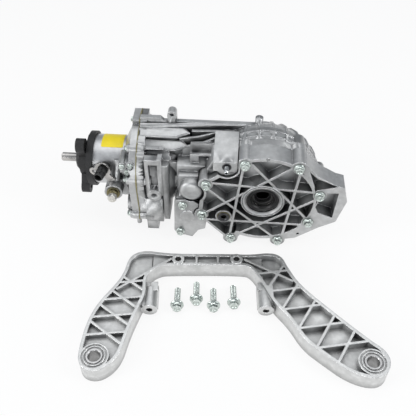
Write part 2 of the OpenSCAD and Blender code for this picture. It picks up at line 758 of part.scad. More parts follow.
module vent_pin() color(bright) translate([axis_x + vent_at[0], -vent_face, vent_at[1]]) rotate([90, 0, 0]) {
    translate([0, 0, -11]) cylinder(h = 21, r = vent_r);
    translate([0, 0, 10]) cylinder(h = 5, r1 = vent_r - 0.6, r2 = vent_r - 1.4);
}

// Lip seals: an outer case, a web and a lip toward the shaft
module lip_seal(outer, lip) rotate_extrude() polygon([
    [outer, 0], [outer, 8], [outer - 2, 8], [outer - 2, 2], [lip + 4, 2], [lip + 1.5, 7], [lip, 6.5],
    [lip, 3.5], [lip + 1, 0]]);

module input_seal() color(black) translate([can_front_x + 1, 0, 0]) rotate([0, 90, 0])
    lip_seal(input_seal_r, hub_r + run);

module near_output_seal() color(black) translate([axis_x, -near_face + 2, 0]) rotate([-90, 0, 0])
    lip_seal(seal_r, journal_r - 1.5);

module far_output_seal() color(black) translate([axis_x, far_face - 2, 0]) rotate([90, 0, 0])
    lip_seal(seal_r, journal_r - 1.5);

// Bearings: an outer ring that stays in its casting, and an inner ring with its rollers
module bearing_cup(outer, inner, w) rotate_extrude() polygon([
    [outer, 0], [outer, w], [cup_face(outer, inner) + roller_slope, w], [cup_face(outer, inner), 0]]);

function cup_face(outer, inner) = outer - (outer - inner) * 0.26;

module bearing_cone(outer, inner, w, rollers) {
    face = cup_face(outer, inner) - 0.15;
    roller_r = (face - inner) * 0.36;
    race = face - 2 * roller_r - 0.15;
    rotate_extrude() polygon([[inner, -1], [inner, w + 1], [race + roller_slope, w + 1],
        [race + roller_slope, w], [race, 0], [race, -1]]);
    for (i = [0:rollers - 1]) rotate(i * 360 / rollers)
        translate([face - roller_r + roller_slope * 2 / w, 0, 2]) rotate([0, atan(roller_slope / w), 0])
            cylinder(h = w - 4, r = roller_r - 0.1);
    rotate_extrude() translate([face - roller_r + roller_slope / 2 - 1, w / 2 - 1.5]) square([2, 3]);
}

module input_bearing_outer() color(steel) translate([input_bearing_x, 0, 0]) rotate([0, 90, 0])
    bearing_cup(input_bearing_r, input_seat_r, input_bearing_w);

module input_bearing_inner() color(steel) translate([input_bearing_x, 0, 0]) rotate([0, 90, 0])
    bearing_cone(input_bearing_r, input_seat_r + fit, input_bearing_w, 14);

module head_bearing_cup() color(steel) translate([head_bearing_x, 0, 0]) rotate([0, 90, 0])
    bearing_cup(head_cup_r, head_seat_r, head_bearing_w);

module head_bearing_cone() color(steel) translate([head_bearing_x, 0, 0]) rotate([0, 90, 0])
    bearing_cone(head_cup_r, head_seat_r + fit, head_bearing_w, 14);

module tail_bearing_cup() color(steel) translate([tail_bearing_x + tail_bearing_w, 0, 0]) rotate([0, -90, 0])
    bearing_cup(tail_cup_r, tail_seat_r, tail_bearing_w);

module tail_bearing_cone() color(steel) translate([tail_bearing_x + tail_bearing_w, 0, 0]) rotate([0, -90, 0])
    bearing_cone(tail_cup_r, tail_seat_r + fit, tail_bearing_w, 13);

module on_near_journal() translate([axis_x, near_bearing_y + bearing_w, 0]) rotate([90, 0, 0]) children();

module on_far_journal() translate([axis_x, far_bearing_y - bearing_w, 0]) rotate([-90, 0, 0]) children();

module near_bearing_cup() color(steel) translate([axis_x, near_bearing_y, 0]) rotate([-90, 0, 0])
    bearing_cup(carrier_cup_r, journal_r, bearing_w);

module near_bearing_cone() color(steel) translate([axis_x, near_bearing_y, 0]) rotate([-90, 0, 0])
    bearing_cone(carrier_cup_r, journal_r + fit, bearing_w, 14);

module far_bearing_cup() color(steel) translate([axis_x, far_bearing_y, 0]) rotate([90, 0, 0])
    bearing_cup(carrier_cup_r, journal_r, bearing_w);

module far_bearing_cone() color(steel) translate([axis_x, far_bearing_y, 0]) rotate([90, 0, 0])
    bearing_cone(carrier_cup_r, journal_r + fit, bearing_w, 14);

// Input side: flange, shaft and clutch basket
module lug_drawing() {
    for (a = lug_angles) rotate(a) {
        translate([0, -lug_r + 1.5]) square([lug_pitch_r, 2 * lug_r - 3]);
        translate([lug_pitch_r, 0]) circle(r = lug_r);
    }
    circle(r = hub_r + 6);
}

module input_flange() color(black) difference() {
    union() {
        plate_x(0, lug_t) lug_drawing();
        turn_x([[0, -8], [hub_r - 6, -8], [hub_r - 3, -5], [hub_r - 1, 0], [hub_r, lug_t],
            [hub_r, input_bearing_x - 1 - fit], [0, input_bearing_x - 1 - fit]]);
    }
    rod_x(-10, input_bearing_x, seat_r + fit);
    for (a = lug_angles) rod_x(-cut, lug_t + cut, lug_hole_r, lug_pitch_r * cos(a), lug_pitch_r * sin(a));
}

module dust_ring() color(black) turn_x([
    [hub_r + fit, lug_t + 0.2], [ring_r, lug_t + 1.5], [ring_r, lug_t + 12], [sleeve_r + 1.2, lug_t + 12],
    [sleeve_r + 1.2, lug_t + 4.2], [hub_r + fit, lug_t + 3.2]]);

module input_shaft() color(steel) turn_x([
    [0, -pilot_len], [pilot_r - 1.5, -pilot_len], [pilot_r, -pilot_len + 1.5], [pilot_r, -7], [seat_r, -7],
    [seat_r, input_bearing_x - 1], [input_seat_r, input_bearing_x - 1],
    [input_seat_r, input_bearing_x + input_bearing_w + 1], [input_seat_r + 4, input_bearing_x + input_bearing_w + 1],
    [input_seat_r + 4, basket_x - 4], [26, basket_x - 4], [26, basket_x], [18, basket_x],
    [18, basket_x + 4], [0, basket_x + 4]]);

module clutch_basket() color(dark_steel) turn_x([
    [18 + fit, basket_x], [basket_r + basket_wall - 3, basket_x], [basket_r + basket_wall, basket_x + 3],
    [basket_r + basket_wall, pressure_x + 4], [basket_r, pressure_x + 4], [basket_r, basket_x + 4],
    [18 + fit, basket_x + 4]]);

module steel_plates() color(steel) for (i = [0:plates - 1]) translate([first_plate_x + 2 * i * plate_pitch, 0, 0])
    ring_x(0, plate_t, basket_r - run, clutch_hub_r + 3);

module friction_discs() color([0.35, 0.3, 0.24]) for (i = [0:plates - 2])
    translate([first_plate_x + (2 * i + 1) * plate_pitch, 0, 0])
        ring_x(0, plate_t, basket_r - 3, clutch_hub_r + run);

module pressure_plate() color(steel) ring_x(pressure_x, pressure_x + 4, basket_r - run, clutch_hub_r + 3);

module thrust_bearing() color(steel) ring_x(thrust_x, thrust_x + 4.5, basket_r - 2, tail_cup_r + 8);

module clutch_piston() color(aluminium) turn_x([
    [tail_cup_r + 5.3, piston_x], [basket_r + 0.7, piston_x], [basket_r + 0.7, piston_x + 8],
    [tail_cup_r + 5.3, piston_x + 8]]);

module clutch_hub() color(steel) difference() {
    union() {
        rod_x(first_plate_x - 1, pressure_x + 3, clutch_hub_r);
        rod_x(pressure_x + 2, tail_bearing_x - 11, seat_r + 6);
    }
    rod_x(first_plate_x - 2, tail_bearing_x, hub_spline_r + fit);
    ring_x(first_plate_x - 2, pressure_x - 6, clutch_hub_r - 4, seat_r + 6);
}

module pinion_nut() color(steel) difference() {
    rod_x(tail_bearing_x - 11, tail_bearing_x - 1, hub_spline_r + 8, sides = 8);
    rod_x(tail_bearing_x - 12, tail_bearing_x, hub_spline_r + 1 + fit);
}

module pinion_spacer() color(steel) ring_x(tail_bearing_x + tail_bearing_w + 1, head_bearing_x - 1,
    head_seat_r + 4, head_seat_r - 1.5 + fit);

// Pinion and ring gear, in mesh at rest
module pinion() color(steel) {
    translate([axis_x, 0, 0]) rotate([90, 0, 0]) rotate([0, -90, 0]) union() {
        bevel_teeth(pinion_teeth, pinion_pitch_r, pinion_cone, ring_face, pinion_thick, pinion_add,
            pinion_ded, spiral, 4, false);
        root_blank(pinion_pitch_r, pinion_cone, ring_face, pinion_ded, pinion_back_x, 0);
    }
    turn_x([[0, shaft_end_x], [hub_spline_r, shaft_end_x], [hub_spline_r, tail_bearing_x - 11],
        [hub_spline_r + 1, tail_bearing_x - 11], [hub_spline_r + 1, tail_bearing_x - 1],
        [tail_seat_r, tail_bearing_x - 1], [tail_seat_r, tail_bearing_x + tail_bearing_w + 1],
        [head_seat_r - 1.5, tail_bearing_x + tail_bearing_w + 1], [head_seat_r - 1.5, head_bearing_x - 1],
        [head_seat_r, head_bearing_x - 1], [head_seat_r, head_bearing_x + head_bearing_w + 3],
        [0, head_bearing_x + head_bearing_w + 3]]);
}

module ring_gear() color(steel) translate([axis_x, 0, 0]) rotate([90, 0, 0]) rotate([0, 0, 180]) difference() {
    union() {
        bevel_teeth(ring_teeth, ring_pitch_r, ring_cone, ring_face, ring_thick, ring_add, ring_ded,
            -spiral, 4, true);
        root_blank(ring_pitch_r, ring_cone, ring_face, ring_ded, -ring_back_y, ring_bore_r);
    }
    for (i = [0:9]) rotate(i * 36) translate([ring_bolt_r, 0, -ring_back_y - 11]) cylinder(h = 12, r = 4.5 + fit);
}

module ring_gear_bolts() color(dark_steel) translate([axis_x, 0, 0]) rotate([90, 0, 0]) rotate([0, 0, 180])
    for (i = [0:9]) rotate(i * 36) translate([ring_bolt_r, 0, -near_journal_y]) {
        translate([0, 0, -carrier_flange_t - 10]) cylinder(h = carrier_flange_t + 10, r = 4.5);
        cylinder(h = 5.5, r = 7, $fn = 6);
    }

// Differential carrier, with a window on each side for its gears
module carrier() color([0.45, 0.46, 0.47]) difference() {
    turn_y([[0, near_bearing_y], [journal_r, near_bearing_y], [journal_r, near_bearing_y + bearing_w + 1],
        [journal_r + 5, near_bearing_y + bearing_w + 1], [journal_r + 7, near_journal_y],
        [carrier_flange_r, near_journal_y], [carrier_flange_r, ring_back_y], [carrier_r, ring_back_y],
        [carrier_r, 12], [carrier_r - 6, side_back + 3], [journal_r + 7, side_back + 9],
        [journal_r + 5, far_bearing_y - bearing_w - 1], [journal_r, far_bearing_y - bearing_w - 1],
        [journal_r, far_bearing_y], [0, far_bearing_y]]);
    translate([axis_x, 0, 0]) sphere(r = cage_r, $fn = 64);
    rod_y(-side_back - run, side_back + run, side_pitch_r + 2, axis_x);
    translate([axis_x - carrier_r - cut, -17, -23]) cube([2 * (carrier_r + cut), 34, 46]);
    rod_y(near_bearing_y - cut, far_bearing_y + cut, side_hub_r + fit, axis_x);
    rod_z(-carrier_r - cut, carrier_r + cut, cross_r + fit, axis_x);
    for (i = [0:9]) translate([axis_x, near_journal_y - cut, 0]) rotate([0, i * 36, 0])
        rotate([-90, 0, 0]) translate([-ring_bolt_r, 0, 0]) cylinder(h = carrier_flange_t + 2 * cut, r = 4.5 + fit);
}

module cross_pin() color(steel) rod_z(-carrier_r + 1.5, carrier_r - 1.5, cross_r, axis_x);

module side_gear() difference() {
    union() {
        bevel_teeth(side_teeth, side_pitch_r, side_cone, side_face, side_thick, 0.6 * side_module,
            1.2 * side_module, 0, 1, true);
        root_blank(side_pitch_r, side_cone, side_face, 1.2 * side_module, side_back, 0);
        cylinder(h = -near_bearing_y - 6, r = side_hub_r);
    }
    translate([0, 0, -cut]) cylinder(h = 100, r = spline_r);
    cylinder(h = side_dist * cos(side_cone) - side_face * cos(side_cone) - 3, r = 2 * spline_r);
}

module spider_gear() difference() {
    union() {
        bevel_teeth(spider_teeth, spider_pitch_r, spider_cone, side_face, spider_thick, side_module,
            0.8 * side_module, 0, 1, false);
        root_blank(spider_pitch_r, spider_cone, side_face, 0.8 * side_module, side_dist + 0.2, 0);
    }
    cylinder(h = 60, r = cross_r + fit);
    rotate_extrude() difference() {
        translate([0, side_dist - 8]) square([40, 30]);
        circle(r = cage_r - run, $fn = 96);
    }
}

module near_side_gear() color(steel) translate([axis_x, 0, 0]) rotate([90, 0, 0]) rotate([0, 0, 90]) side_gear();

module far_side_gear() color(steel) translate([axis_x, 0, 0]) rotate([-90, 0, 0]) rotate([0, 0, 90])
    difference() {
        side_gear();
        translate([0, 0, far_bearing_y - 4]) cylinder(h = 60, r = 40);
    }

module top_spider_gear() color(steel) translate([axis_x, 0, 0]) rotate([0, 0, 90]) spider_gear();

module bottom_spider_gear() color(steel) translate([axis_x, 0, 0]) rotate([180, 0, 0]) rotate([0, 0, 90])
    spider_gear();

// Mounting bracket, which lies flat in front of the unit, and its bolts
// Each pass cuts the corners of a closed outline, so that it becomes round
function round_off(p, passes) = passes == 0 ? p : round_off([for (i = [0:len(p) - 1])
    let (a = p[i], b = p[(i + 1) % len(p)]) each [a * 0.75 + b * 0.25, a * 0.25 + b * 0.75]], passes - 1);

module kit_place() translate([kit_at[0], kit_at[1], floor_z]) rotate(kit_turn) children();

module bracket_outline() polygon(round_off([
    [-38, 11], [38, 11], [72, 9], [108, 14], [126, 5], [133, -17], [150, -54], [192, -101], [244, -156],
    [265, -174], [270, -194], [259, -215], [238, -221], [205, -209], [174, -182], [146, -156], [128, -117],
    [105, -87], [94, -60], [74, -18], [58, -12], [-60, -12], [-80, -14], [-97, -28], [-101, -46],
    [-98, -68], [-109, -99], [-121, -139], [-128, -176], [-141, -197], [-160, -209], [-180, -206],
    [-191, -190], [-190, -160], [-185, -122], [-173, -89], [-147, -50], [-137, -28], [-132, 2],
    [-119, 15], [-100, 18], [-72, 13]], 2));

// Crossed ribs from one end of an arm to the other
module lattice(from, to, half, cells) {
    step = (to - from) / cells;
    across = [-step[1], step[0]] / norm(step) * half;
    for (i = [0:cells - 1]) {
        bar(from + step * i + across, from + step * (i + 1) - across, lattice_w);
        bar(from + step * i - across, from + step * (i + 1) + across, lattice_w);
    }
}

module bracket_pockets() difference() {
    offset(delta = -bracket_rim) bracket_outline();
    for (p = bush_at) translate(p) circle(r = bush_r + 7);
    for (p = side_boss_at) translate(p + [0, side_boss_len / 2]) square([2 * side_boss_r - 2, side_boss_len], center = true);
    for (x = [-1, 1]) translate([x * cross_hole_x, 0]) circle(r = cross_boss_r);
    for (x = [-1, 1]) translate([x * 18, 0]) square([lattice_w, 40], center = true);
    lattice([-120, -30], [-158, -160], 42, 4);
    lattice([108, -8], [222, -180], 44, 5);
    bar([-147, -62], [-60, 2], lattice_w);
    bar([62, 0], [140, -46], lattice_w);
}

module mounting_bracket() color(aluminium) kit_place() difference() {
    union() {
        difference() {
            linear_extrude(bracket_h) bracket_outline();
            translate([0, 0, bracket_h - bracket_pocket]) linear_extrude(bracket_h) bracket_pockets();
        }
        for (p = side_boss_at) translate([p[0], p[1] + side_boss_len, side_boss_r]) rotate([90, 0, 0])
            cylinder(h = side_boss_len, r = side_boss_r);
        for (p = side_boss_at) translate([p[0] - side_boss_r, p[1] + 10, 0])
            cube([2 * side_boss_r, side_boss_len, side_boss_r]);
        for (x = [-1, 1]) translate([x * cross_hole_x, 0]) cylinder(h = bracket_h + 1, r = cross_boss_r);
        for (p = bush_at) translate(p) cylinder(h = bracket_h, r = bush_r + 7);
    }
    for (p = side_boss_at) translate([p[0], p[1] + side_boss_len + cut, side_boss_r]) rotate([90, 0, 0])
        cylinder(h = side_boss_len + 2 * cut, r = kit_bolt_r + 0.2);
    for (x = [-1, 1]) translate([x * cross_hole_x, 0, -cut]) cylinder(h = bracket_h + 10, r = kit_bolt_r + 0.2);
    for (p = bush_at) translate([p[0], p[1], -cut]) cylinder(h = bracket_h + 10, r = bush_r + fit);
    for (p = bush_at) translate([p[0], p[1], bracket_h - 2]) difference() {
        cylinder(h = 10, r = bush_r + 4.5);
        translate([0, 0, -cut]) cylinder(h = 12, r = bush_r + 2);
    }
}

module bush(p) color(steel) kit_place() translate([p[0], p[1], 0]) difference() {
    union() {
        cylinder(h = bracket_h - 1, r = bush_r);
        cylinder(h = bracket_h, r = bush_r - 2);
    }
    translate([0, 0, -cut]) cylinder(h = bracket_h + 2 * cut, r = bush_bore_r);
}

module left_bush() bush(bush_at[0]);

module right_bush() bush(bush_at[1]);

module bracket_bolts() color(zinc) kit_place() for (p = kit_bolts_at)
    translate([p[0], p[1], kit_flange_r * cos(bolt_lean) + 0.05]) rotate([-90 - bolt_lean, 0, 0])
        flange_bolt(kit_bolt_r, kit_flange_r, 10, kit_bolt_len);

main_case();
side_cover();
coupling_cover();
bearing_sleeve();
plain_label();
joint_sealant();
side_cover_bolts();
coupling_cover_bolts();
access_cover();
access_cover_bolts();
barrel_plug();
plug_washer();
connector();
connector_bracket();
pump_screws();
fill_plug();
vent_pin();
input_seal();
near_output_seal();
far_output_seal();
input_bearing_outer();
head_bearing_cup();
tail_bearing_cup();
near_bearing_cup();
far_bearing_cup();
clutch_piston();
input_flange();
input_shaft();
dust_ring();
input_bearing_inner();
clutch_basket();
steel_plates();
pressure_plate();
thrust_bearing();
pinion();
head_bearing_cone();
tail_bearing_cone();
pinion_spacer();
pinion_nut();
clutch_hub();
friction_discs();
carrier();
ring_gear();
ring_gear_bolts();
cross_pin();
near_bearing_cone();
far_bearing_cone();
near_side_gear();
far_side_gear();
top_spider_gear();
bottom_spider_gear();
mounting_bracket();
left_bush();
right_bush();
bracket_bolts();
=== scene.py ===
import json
from math import radians, sin, cos, pi

import bpy
from mathutils import Matrix, Vector
from mathutils.geometry import convex_hull_2d


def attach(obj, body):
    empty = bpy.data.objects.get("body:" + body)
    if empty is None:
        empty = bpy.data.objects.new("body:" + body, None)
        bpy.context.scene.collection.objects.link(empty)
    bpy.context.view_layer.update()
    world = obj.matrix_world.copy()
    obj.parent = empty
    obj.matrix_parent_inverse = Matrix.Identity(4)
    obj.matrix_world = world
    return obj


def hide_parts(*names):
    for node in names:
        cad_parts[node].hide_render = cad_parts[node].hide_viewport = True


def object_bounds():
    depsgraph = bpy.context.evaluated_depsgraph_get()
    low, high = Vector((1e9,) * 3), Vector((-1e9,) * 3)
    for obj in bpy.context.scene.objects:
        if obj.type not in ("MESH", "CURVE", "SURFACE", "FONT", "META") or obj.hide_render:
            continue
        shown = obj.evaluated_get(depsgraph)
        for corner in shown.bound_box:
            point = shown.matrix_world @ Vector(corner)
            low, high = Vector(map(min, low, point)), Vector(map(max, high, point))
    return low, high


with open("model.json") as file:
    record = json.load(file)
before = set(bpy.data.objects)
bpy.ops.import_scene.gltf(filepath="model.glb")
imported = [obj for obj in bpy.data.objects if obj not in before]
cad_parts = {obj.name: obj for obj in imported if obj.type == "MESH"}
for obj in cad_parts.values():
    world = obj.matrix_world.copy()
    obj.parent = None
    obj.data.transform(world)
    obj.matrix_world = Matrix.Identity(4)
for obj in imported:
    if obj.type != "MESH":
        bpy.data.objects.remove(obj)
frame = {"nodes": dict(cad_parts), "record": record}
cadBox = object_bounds()
nodes = frame["nodes"]
print("frame loaded:", len(nodes), "nodes")


# camera, at the angle of the photograph
cameraValues = {
    "place": (0.2796, -0.8061, 0.7225),
    "turn": 4.0,
    "tilt": 46.0,
    "focalPixels": 612.0,
    "framePixels": 416.0,
    "sensor": 36.0,
}


def makeCamera(v):
    data = bpy.data.cameras.new("photoCamera")
    data.sensor_width = v["sensor"]
    data.lens = v["sensor"] * v["focalPixels"] / v["framePixels"]
    camera = bpy.data.objects.new("photoCamera", data)
    camera.location = v["place"]
    camera.rotation_euler = (radians(90 - v["tilt"]), 0, radians(v["turn"]))
    bpy.context.scene.collection.objects.link(camera)
    bpy.context.scene.camera = camera


# soft studio: a pale floor, a dim even sky, and large lamps
studioValues = {
    "floorSize": 14.0,
    "floorMiddle": 0.25,
    "floorGap": 0.0002,
    "floorColour": (0.9, 0.9, 0.9, 1),
    "floorGlow": 0.86,
    "skyColour": (0.86, 0.9, 0.95, 1),
    "skyStrength": 0.42,
    "lamps": {
        "topLamp": {"place": (0.1, 0.35, 1.6), "size": (2.2, 1.4), "power": 10.5, "aim": (0.25, -0.05, 0)},
        "leftLamp": {"place": (-1.3, -0.9, 0.9), "size": (0.7, 1.2), "power": 13, "aim": (0.2, -0.1, 0)},
        "rightLamp": {"place": (1.6, -0.5, 1.0), "size": (0.6, 1.0), "power": 9, "aim": (0.3, -0.1, 0)},
        "frontLamp": {"place": (0.2, -1.9, 0.5), "size": (1.2, 0.5), "power": 8, "aim": (0.25, -0.1, 0)},
    },
}


def clearSelection():
    if bpy.context.object and bpy.context.object.mode != "OBJECT":
        bpy.ops.object.mode_set(mode="OBJECT")
    bpy.ops.object.select_all(action="DESELECT")


def emptyTree(owner):
    owner.use_nodes = True
    owner.node_tree.nodes.clear()
    return owner.node_tree


def makeStudio(v):
    clearSelection()
    height = cadBox[0][2] - v["floorGap"]
    bpy.ops.mesh.primitive_plane_add(size=v["floorSize"], location=(v["floorMiddle"], 0, height))
    floor = bpy.context.object
    floor.name = "studioFloor"
    material = bpy.data.materials.new("studioFloor")
    tree = emptyTree(material)
    output = tree.nodes.new("ShaderNodeOutputMaterial")
    mix = tree.nodes.new("ShaderNodeMixShader")
    diffuse = tree.nodes.new("ShaderNodeBsdfDiffuse")
    diffuse.inputs["Color"].default_value = v["floorColour"]
    glow = tree.nodes.new("ShaderNodeEmission")
    path = tree.nodes.new("ShaderNodeLightPath")
    seen = mathNode(tree, "MAXIMUM", path.outputs["Is Camera Ray"], path.outputs["Is Glossy Ray"])
    tree.links.new(mathNode(tree, "MULTIPLY", seen, v["floorGlow"]), mix.inputs["Fac"])
    tree.links.new(diffuse.outputs[0], mix.inputs[1])
    tree.links.new(glow.outputs[0], mix.inputs[2])
    tree.links.new(mix.outputs[0], output.inputs["Surface"])
    floor.data.materials.append(material)

    world = bpy.data.worlds.new("studioSky")
    bpy.context.scene.world = world
    tree = emptyTree(world)
    output = tree.nodes.new("ShaderNodeOutputWorld")
    mix = tree.nodes.new("ShaderNodeMixShader")
    sky = tree.nodes.new("ShaderNodeBackground")
    sky.inputs["Color"].default_value = v["skyColour"]
    sky.inputs["Strength"].default_value = v["skyStrength"]
    white = tree.nodes.new("ShaderNodeBackground")
    path = tree.nodes.new("ShaderNodeLightPath")
    tree.links.new(path.outputs["Is Camera Ray"], mix.inputs["Fac"])
    tree.links.new(sky.outputs[0], mix.inputs[1])
    tree.links.new(white.outputs[0], mix.inputs[2])
    tree.links.new(mix.outputs[0], output.inputs["Surface"])

    for name, lamp in v["lamps"].items():
        data = bpy.data.lights.new(name, "AREA")
        data.shape = "RECTANGLE"
        data.size, data.size_y = lamp["size"]
        data.energy = lamp["power"]
        light = bpy.data.objects.new(name, data)
        light.location = lamp["place"]
        toward = Vector(lamp["aim"]) - Vector(lamp["place"])
        light.rotation_euler = toward.to_track_quat("-Z", "Y").to_euler()
        bpy.context.scene.collection.objects.link(light)
    bpy.context.scene.view_settings.view_transform = "Standard"
    print("studio ready")


# shared shader groups
def newGroup(name, inputs, outputs):
    group = bpy.data.node_groups.new(name, "ShaderNodeTree")
    for label, kind, value in inputs:
        socket = group.interface.new_socket(label, in_out="INPUT", socket_type=kind)
        socket.default_value = value
    for label, kind in outputs:
        group.interface.new_socket(label, in_out="OUTPUT", socket_type=kind)
    return group, group.nodes.new("NodeGroupInput"), group.nodes.new("NodeGroupOutput")


def mathNode(tree, operation, first, second=None, clamp=False):
    node = tree.nodes.new("ShaderNodeMath")
    node.operation = operation
    node.use_clamp = clamp
    for slot, value in ((0, first), (1, second)):
        if value is None:
            continue
        if isinstance(value, (int, float)):
            node.inputs[slot].default_value = value
        else:
            tree.links.new(value, node.inputs[slot])
    return node.outputs[0]


def noiseNode(tree, vector, scale, detail=3.0, rough=0.6):
    node = tree.nodes.new("ShaderNodeTexNoise")
    node.inputs["Detail"].default_value = detail
    node.inputs["Roughness"].default_value = rough
    tree.links.new(vector, node.inputs["Vector"])
    if isinstance(scale, (int, float)):
        node.inputs["Scale"].default_value = scale
    else:
        tree.links.new(scale, node.inputs["Scale"])
    return node.outputs["Fac"]


edgeValues = {"bendGain": 7.0, "pitScale": 160.0, "pocketReach": 0.016, "pocketPower": 1.3}


def makeEdgeGroup(v):
    # a mask that is high on outer edges, from a rounded normal; the edge colour it brings is partly wear and
    # partly a painted highlight. A second mask, from ambient occlusion, is painted shade that darkens hollows
    group, start, end = newGroup("edgeWear", [
        ("Radius", "NodeSocketFloat", 0.0012),
        ("Breakup", "NodeSocketFloat", 0.35),
        ("Vector", "NodeSocketVector", (0, 0, 0)),
    ], [("Edge", "NodeSocketFloat"), ("Pocket", "NodeSocketFloat"), ("Normal", "NodeSocketVector")])
    # edge mask: rims are lightened, partly as wear and partly as a painted highlight
    bevel = group.nodes.new("ShaderNodeBevel")
    bevel.samples = 4
    group.links.new(start.outputs["Radius"], bevel.inputs["Radius"])
    geometry = group.nodes.new("ShaderNodeNewGeometry")
    dot = group.nodes.new("ShaderNodeVectorMath")
    dot.operation = "DOT_PRODUCT"
    group.links.new(bevel.outputs[0], dot.inputs[0])
    group.links.new(geometry.outputs["Normal"], dot.inputs[1])
    bend = mathNode(group, "SUBTRACT", 1.0, dot.outputs["Value"])
    strong = mathNode(group, "MULTIPLY", bend, v["bendGain"], clamp=True)
    pits = noiseNode(group, start.outputs["Vector"], v["pitScale"])
    loss = mathNode(group, "MULTIPLY", pits, start.outputs["Breakup"])
    edge = mathNode(group, "SUBTRACT", strong, loss, clamp=True)
    # painted shade: hollows within reach of the occlusion are darkened
    hollow = group.nodes.new("ShaderNodeAmbientOcclusion")
    hollow.samples = 6
    hollow.inputs["Distance"].default_value = v["pocketReach"]
    light = mathNode(group, "POWER", hollow.outputs["AO"], v["pocketPower"])
    pocket = mathNode(group, "SUBTRACT", 1.0, light, clamp=True)
    group.links.new(edge, end.inputs["Edge"])
    group.links.new(pocket, end.inputs["Pocket"])
    group.links.new(bevel.outputs[0], end.inputs["Normal"])
    return group


castValues = {"fine": (2.0, 0.7), "medium": (260.0, 3.0, 0.6), "slow": (4.0, 0.55)}


def makeCastGroup(v):
    # sand-like grain, faint flow marks and stains of a casting
    group, start, end = newGroup("castSkin", [
        ("Vector", "NodeSocketVector", (0, 0, 0)),
        ("Grain", "NodeSocketFloat", 900.0),
        ("Flow", "NodeSocketFloat", 38.0),
    ], [("Height", "NodeSocketFloat"), ("Stain", "NodeSocketFloat"), ("Speckle", "NodeSocketFloat")])
    fine = noiseNode(group, start.outputs["Vector"], start.outputs["Grain"], *v["fine"])
    medium = noiseNode(group, start.outputs["Vector"], *v["medium"])
    slow = noiseNode(group, start.outputs["Vector"], start.outputs["Flow"], *v["slow"])
    halves = [mathNode(group, "MULTIPLY", value, 0.5) for value in (fine, medium)]
    height = mathNode(group, "ADD", *halves)
    group.links.new(height, end.inputs["Height"])
    group.links.new(slow, end.inputs["Stain"])
    group.links.new(medium, end.inputs["Speckle"])
    return group


groups = {}


def makeGroups():
    groups["edge"] = makeEdgeGroup(edgeValues)
    groups["cast"] = makeCastGroup(castValues)
    print("shader groups ready")


def objectVector(tree):
    return tree.nodes.new("ShaderNodeTexCoord").outputs["Object"]


def placeGroup(tree, key, vector, **values):
    node = tree.nodes.new("ShaderNodeGroup")
    node.node_tree = groups[key]
    tree.links.new(vector, node.inputs["Vector"])
    for label, value in values.items():
        node.inputs[label].default_value = value
    return node


def ramp(tree, value, stops):
    node = tree.nodes.new("ShaderNodeValToRGB")
    for number in (0, -1):
        element = node.color_ramp.elements[number]
        element.position, element.color = stops[number][0], (*stops[number][1], 1)
    for position, colour in stops[1:-1]:
        element = node.color_ramp.elements.new(position)
        element.color = (*colour, 1)
    tree.links.new(value, node.inputs["Fac"])
    return node.outputs["Color"]


def mixColour(tree, share, first, second, blend="MIX"):
    node = tree.nodes.new("ShaderNodeMix")
    node.data_type = "RGBA"
    node.blend_type = blend
    for slot, value in ((0, share), (6, first), (7, second)):
        socket = node.inputs[slot]
        if isinstance(value, tuple):
            socket.default_value = (*value, 1)
        elif isinstance(value, (int, float)):
            socket.default_value = value
        else:
            tree.links.new(value, socket)
    return node.outputs[2]


def newMaterial(name):
    material = bpy.data.materials.new(name)
    material.use_nodes = True
    tree = material.node_tree
    return material, tree, tree.nodes["Principled BSDF"]


def mapRange(tree, value, low, high):
    node = tree.nodes.new("ShaderNodeMapRange")
    node.inputs["To Min"].default_value = low
    node.inputs["To Max"].default_value = high
    tree.links.new(value, node.inputs["Value"])
    return node.outputs["Result"]


def finishShader(tree, shader, edge, base, v):
    # rims lightened, partly as wear and partly as a painted highlight, hollows darkened with painted shade,
    # and a fine bump, shared by all metals
    # painted shade: the occlusion mask darkens hollows toward the pocket colour
    shaded = mixColour(tree, edge.outputs["Pocket"], base, v["pocket"])
    # rims lightened toward the edge colour, partly wear and partly a painted highlight
    share = mathNode(tree, "MULTIPLY", edge.outputs["Edge"], v["edgeShare"])
    tree.links.new(mixColour(tree, share, shaded, v["edge"]), shader.inputs["Base Color"])
    shader.inputs["Metallic"].default_value = v["metallic"]
    bump = tree.nodes.new("ShaderNodeBump")
    bump.inputs["Strength"].default_value = v["bump"]
    bump.inputs["Distance"].default_value = v["bumpDepth"]
    tree.links.new(edge.outputs["Normal"], bump.inputs["Normal"])
    tree.links.new(bump.outputs["Normal"], shader.inputs["Normal"])
    return bump.inputs["Height"]


def castMetal(name, v):
    material, tree, shader = newMaterial(name)
    vector = objectVector(tree)
    edge = placeGroup(tree, "edge", vector, Radius=v["edgeRadius"], Breakup=v["breakup"])
    skin = placeGroup(tree, "cast", vector, Grain=v["grain"], Flow=v["flow"])
    base = ramp(tree, skin.outputs["Stain"], [(0.3, v["dark"]), (0.55, v["middle"]), (0.75, v["light"])])
    tree.links.new(skin.outputs["Height"], finishShader(tree, shader, edge, base, v))
    rough = mapRange(tree, skin.outputs["Speckle"], *v["rough"])
    polished = mathNode(tree, "MULTIPLY", edge.outputs["Edge"], v["polish"])
    tree.links.new(mathNode(tree, "ADD", rough, polished), shader.inputs["Roughness"])
    return material


def smoothMetal(name, v):
    # plated or machined metal with soft marks, a rim that is partly worn and partly a painted highlight, and
    # painted shade in its hollows
    material, tree, shader = newMaterial(name)
    vector = objectVector(tree)
    edge = placeGroup(tree, "edge", vector, Radius=v["edgeRadius"], Breakup=v["breakup"])
    marks = noiseNode(tree, vector, v["marks"], 4.0, 0.6)
    base = ramp(tree, marks, [(0.35, v["dark"]), (0.7, v["light"])])
    fine = noiseNode(tree, vector, v["grain"], 2.0, 0.6)
    tree.links.new(fine, finishShader(tree, shader, edge, base, v))
    tree.links.new(mapRange(tree, marks, *v["rough"]), shader.inputs["Roughness"])
    return material


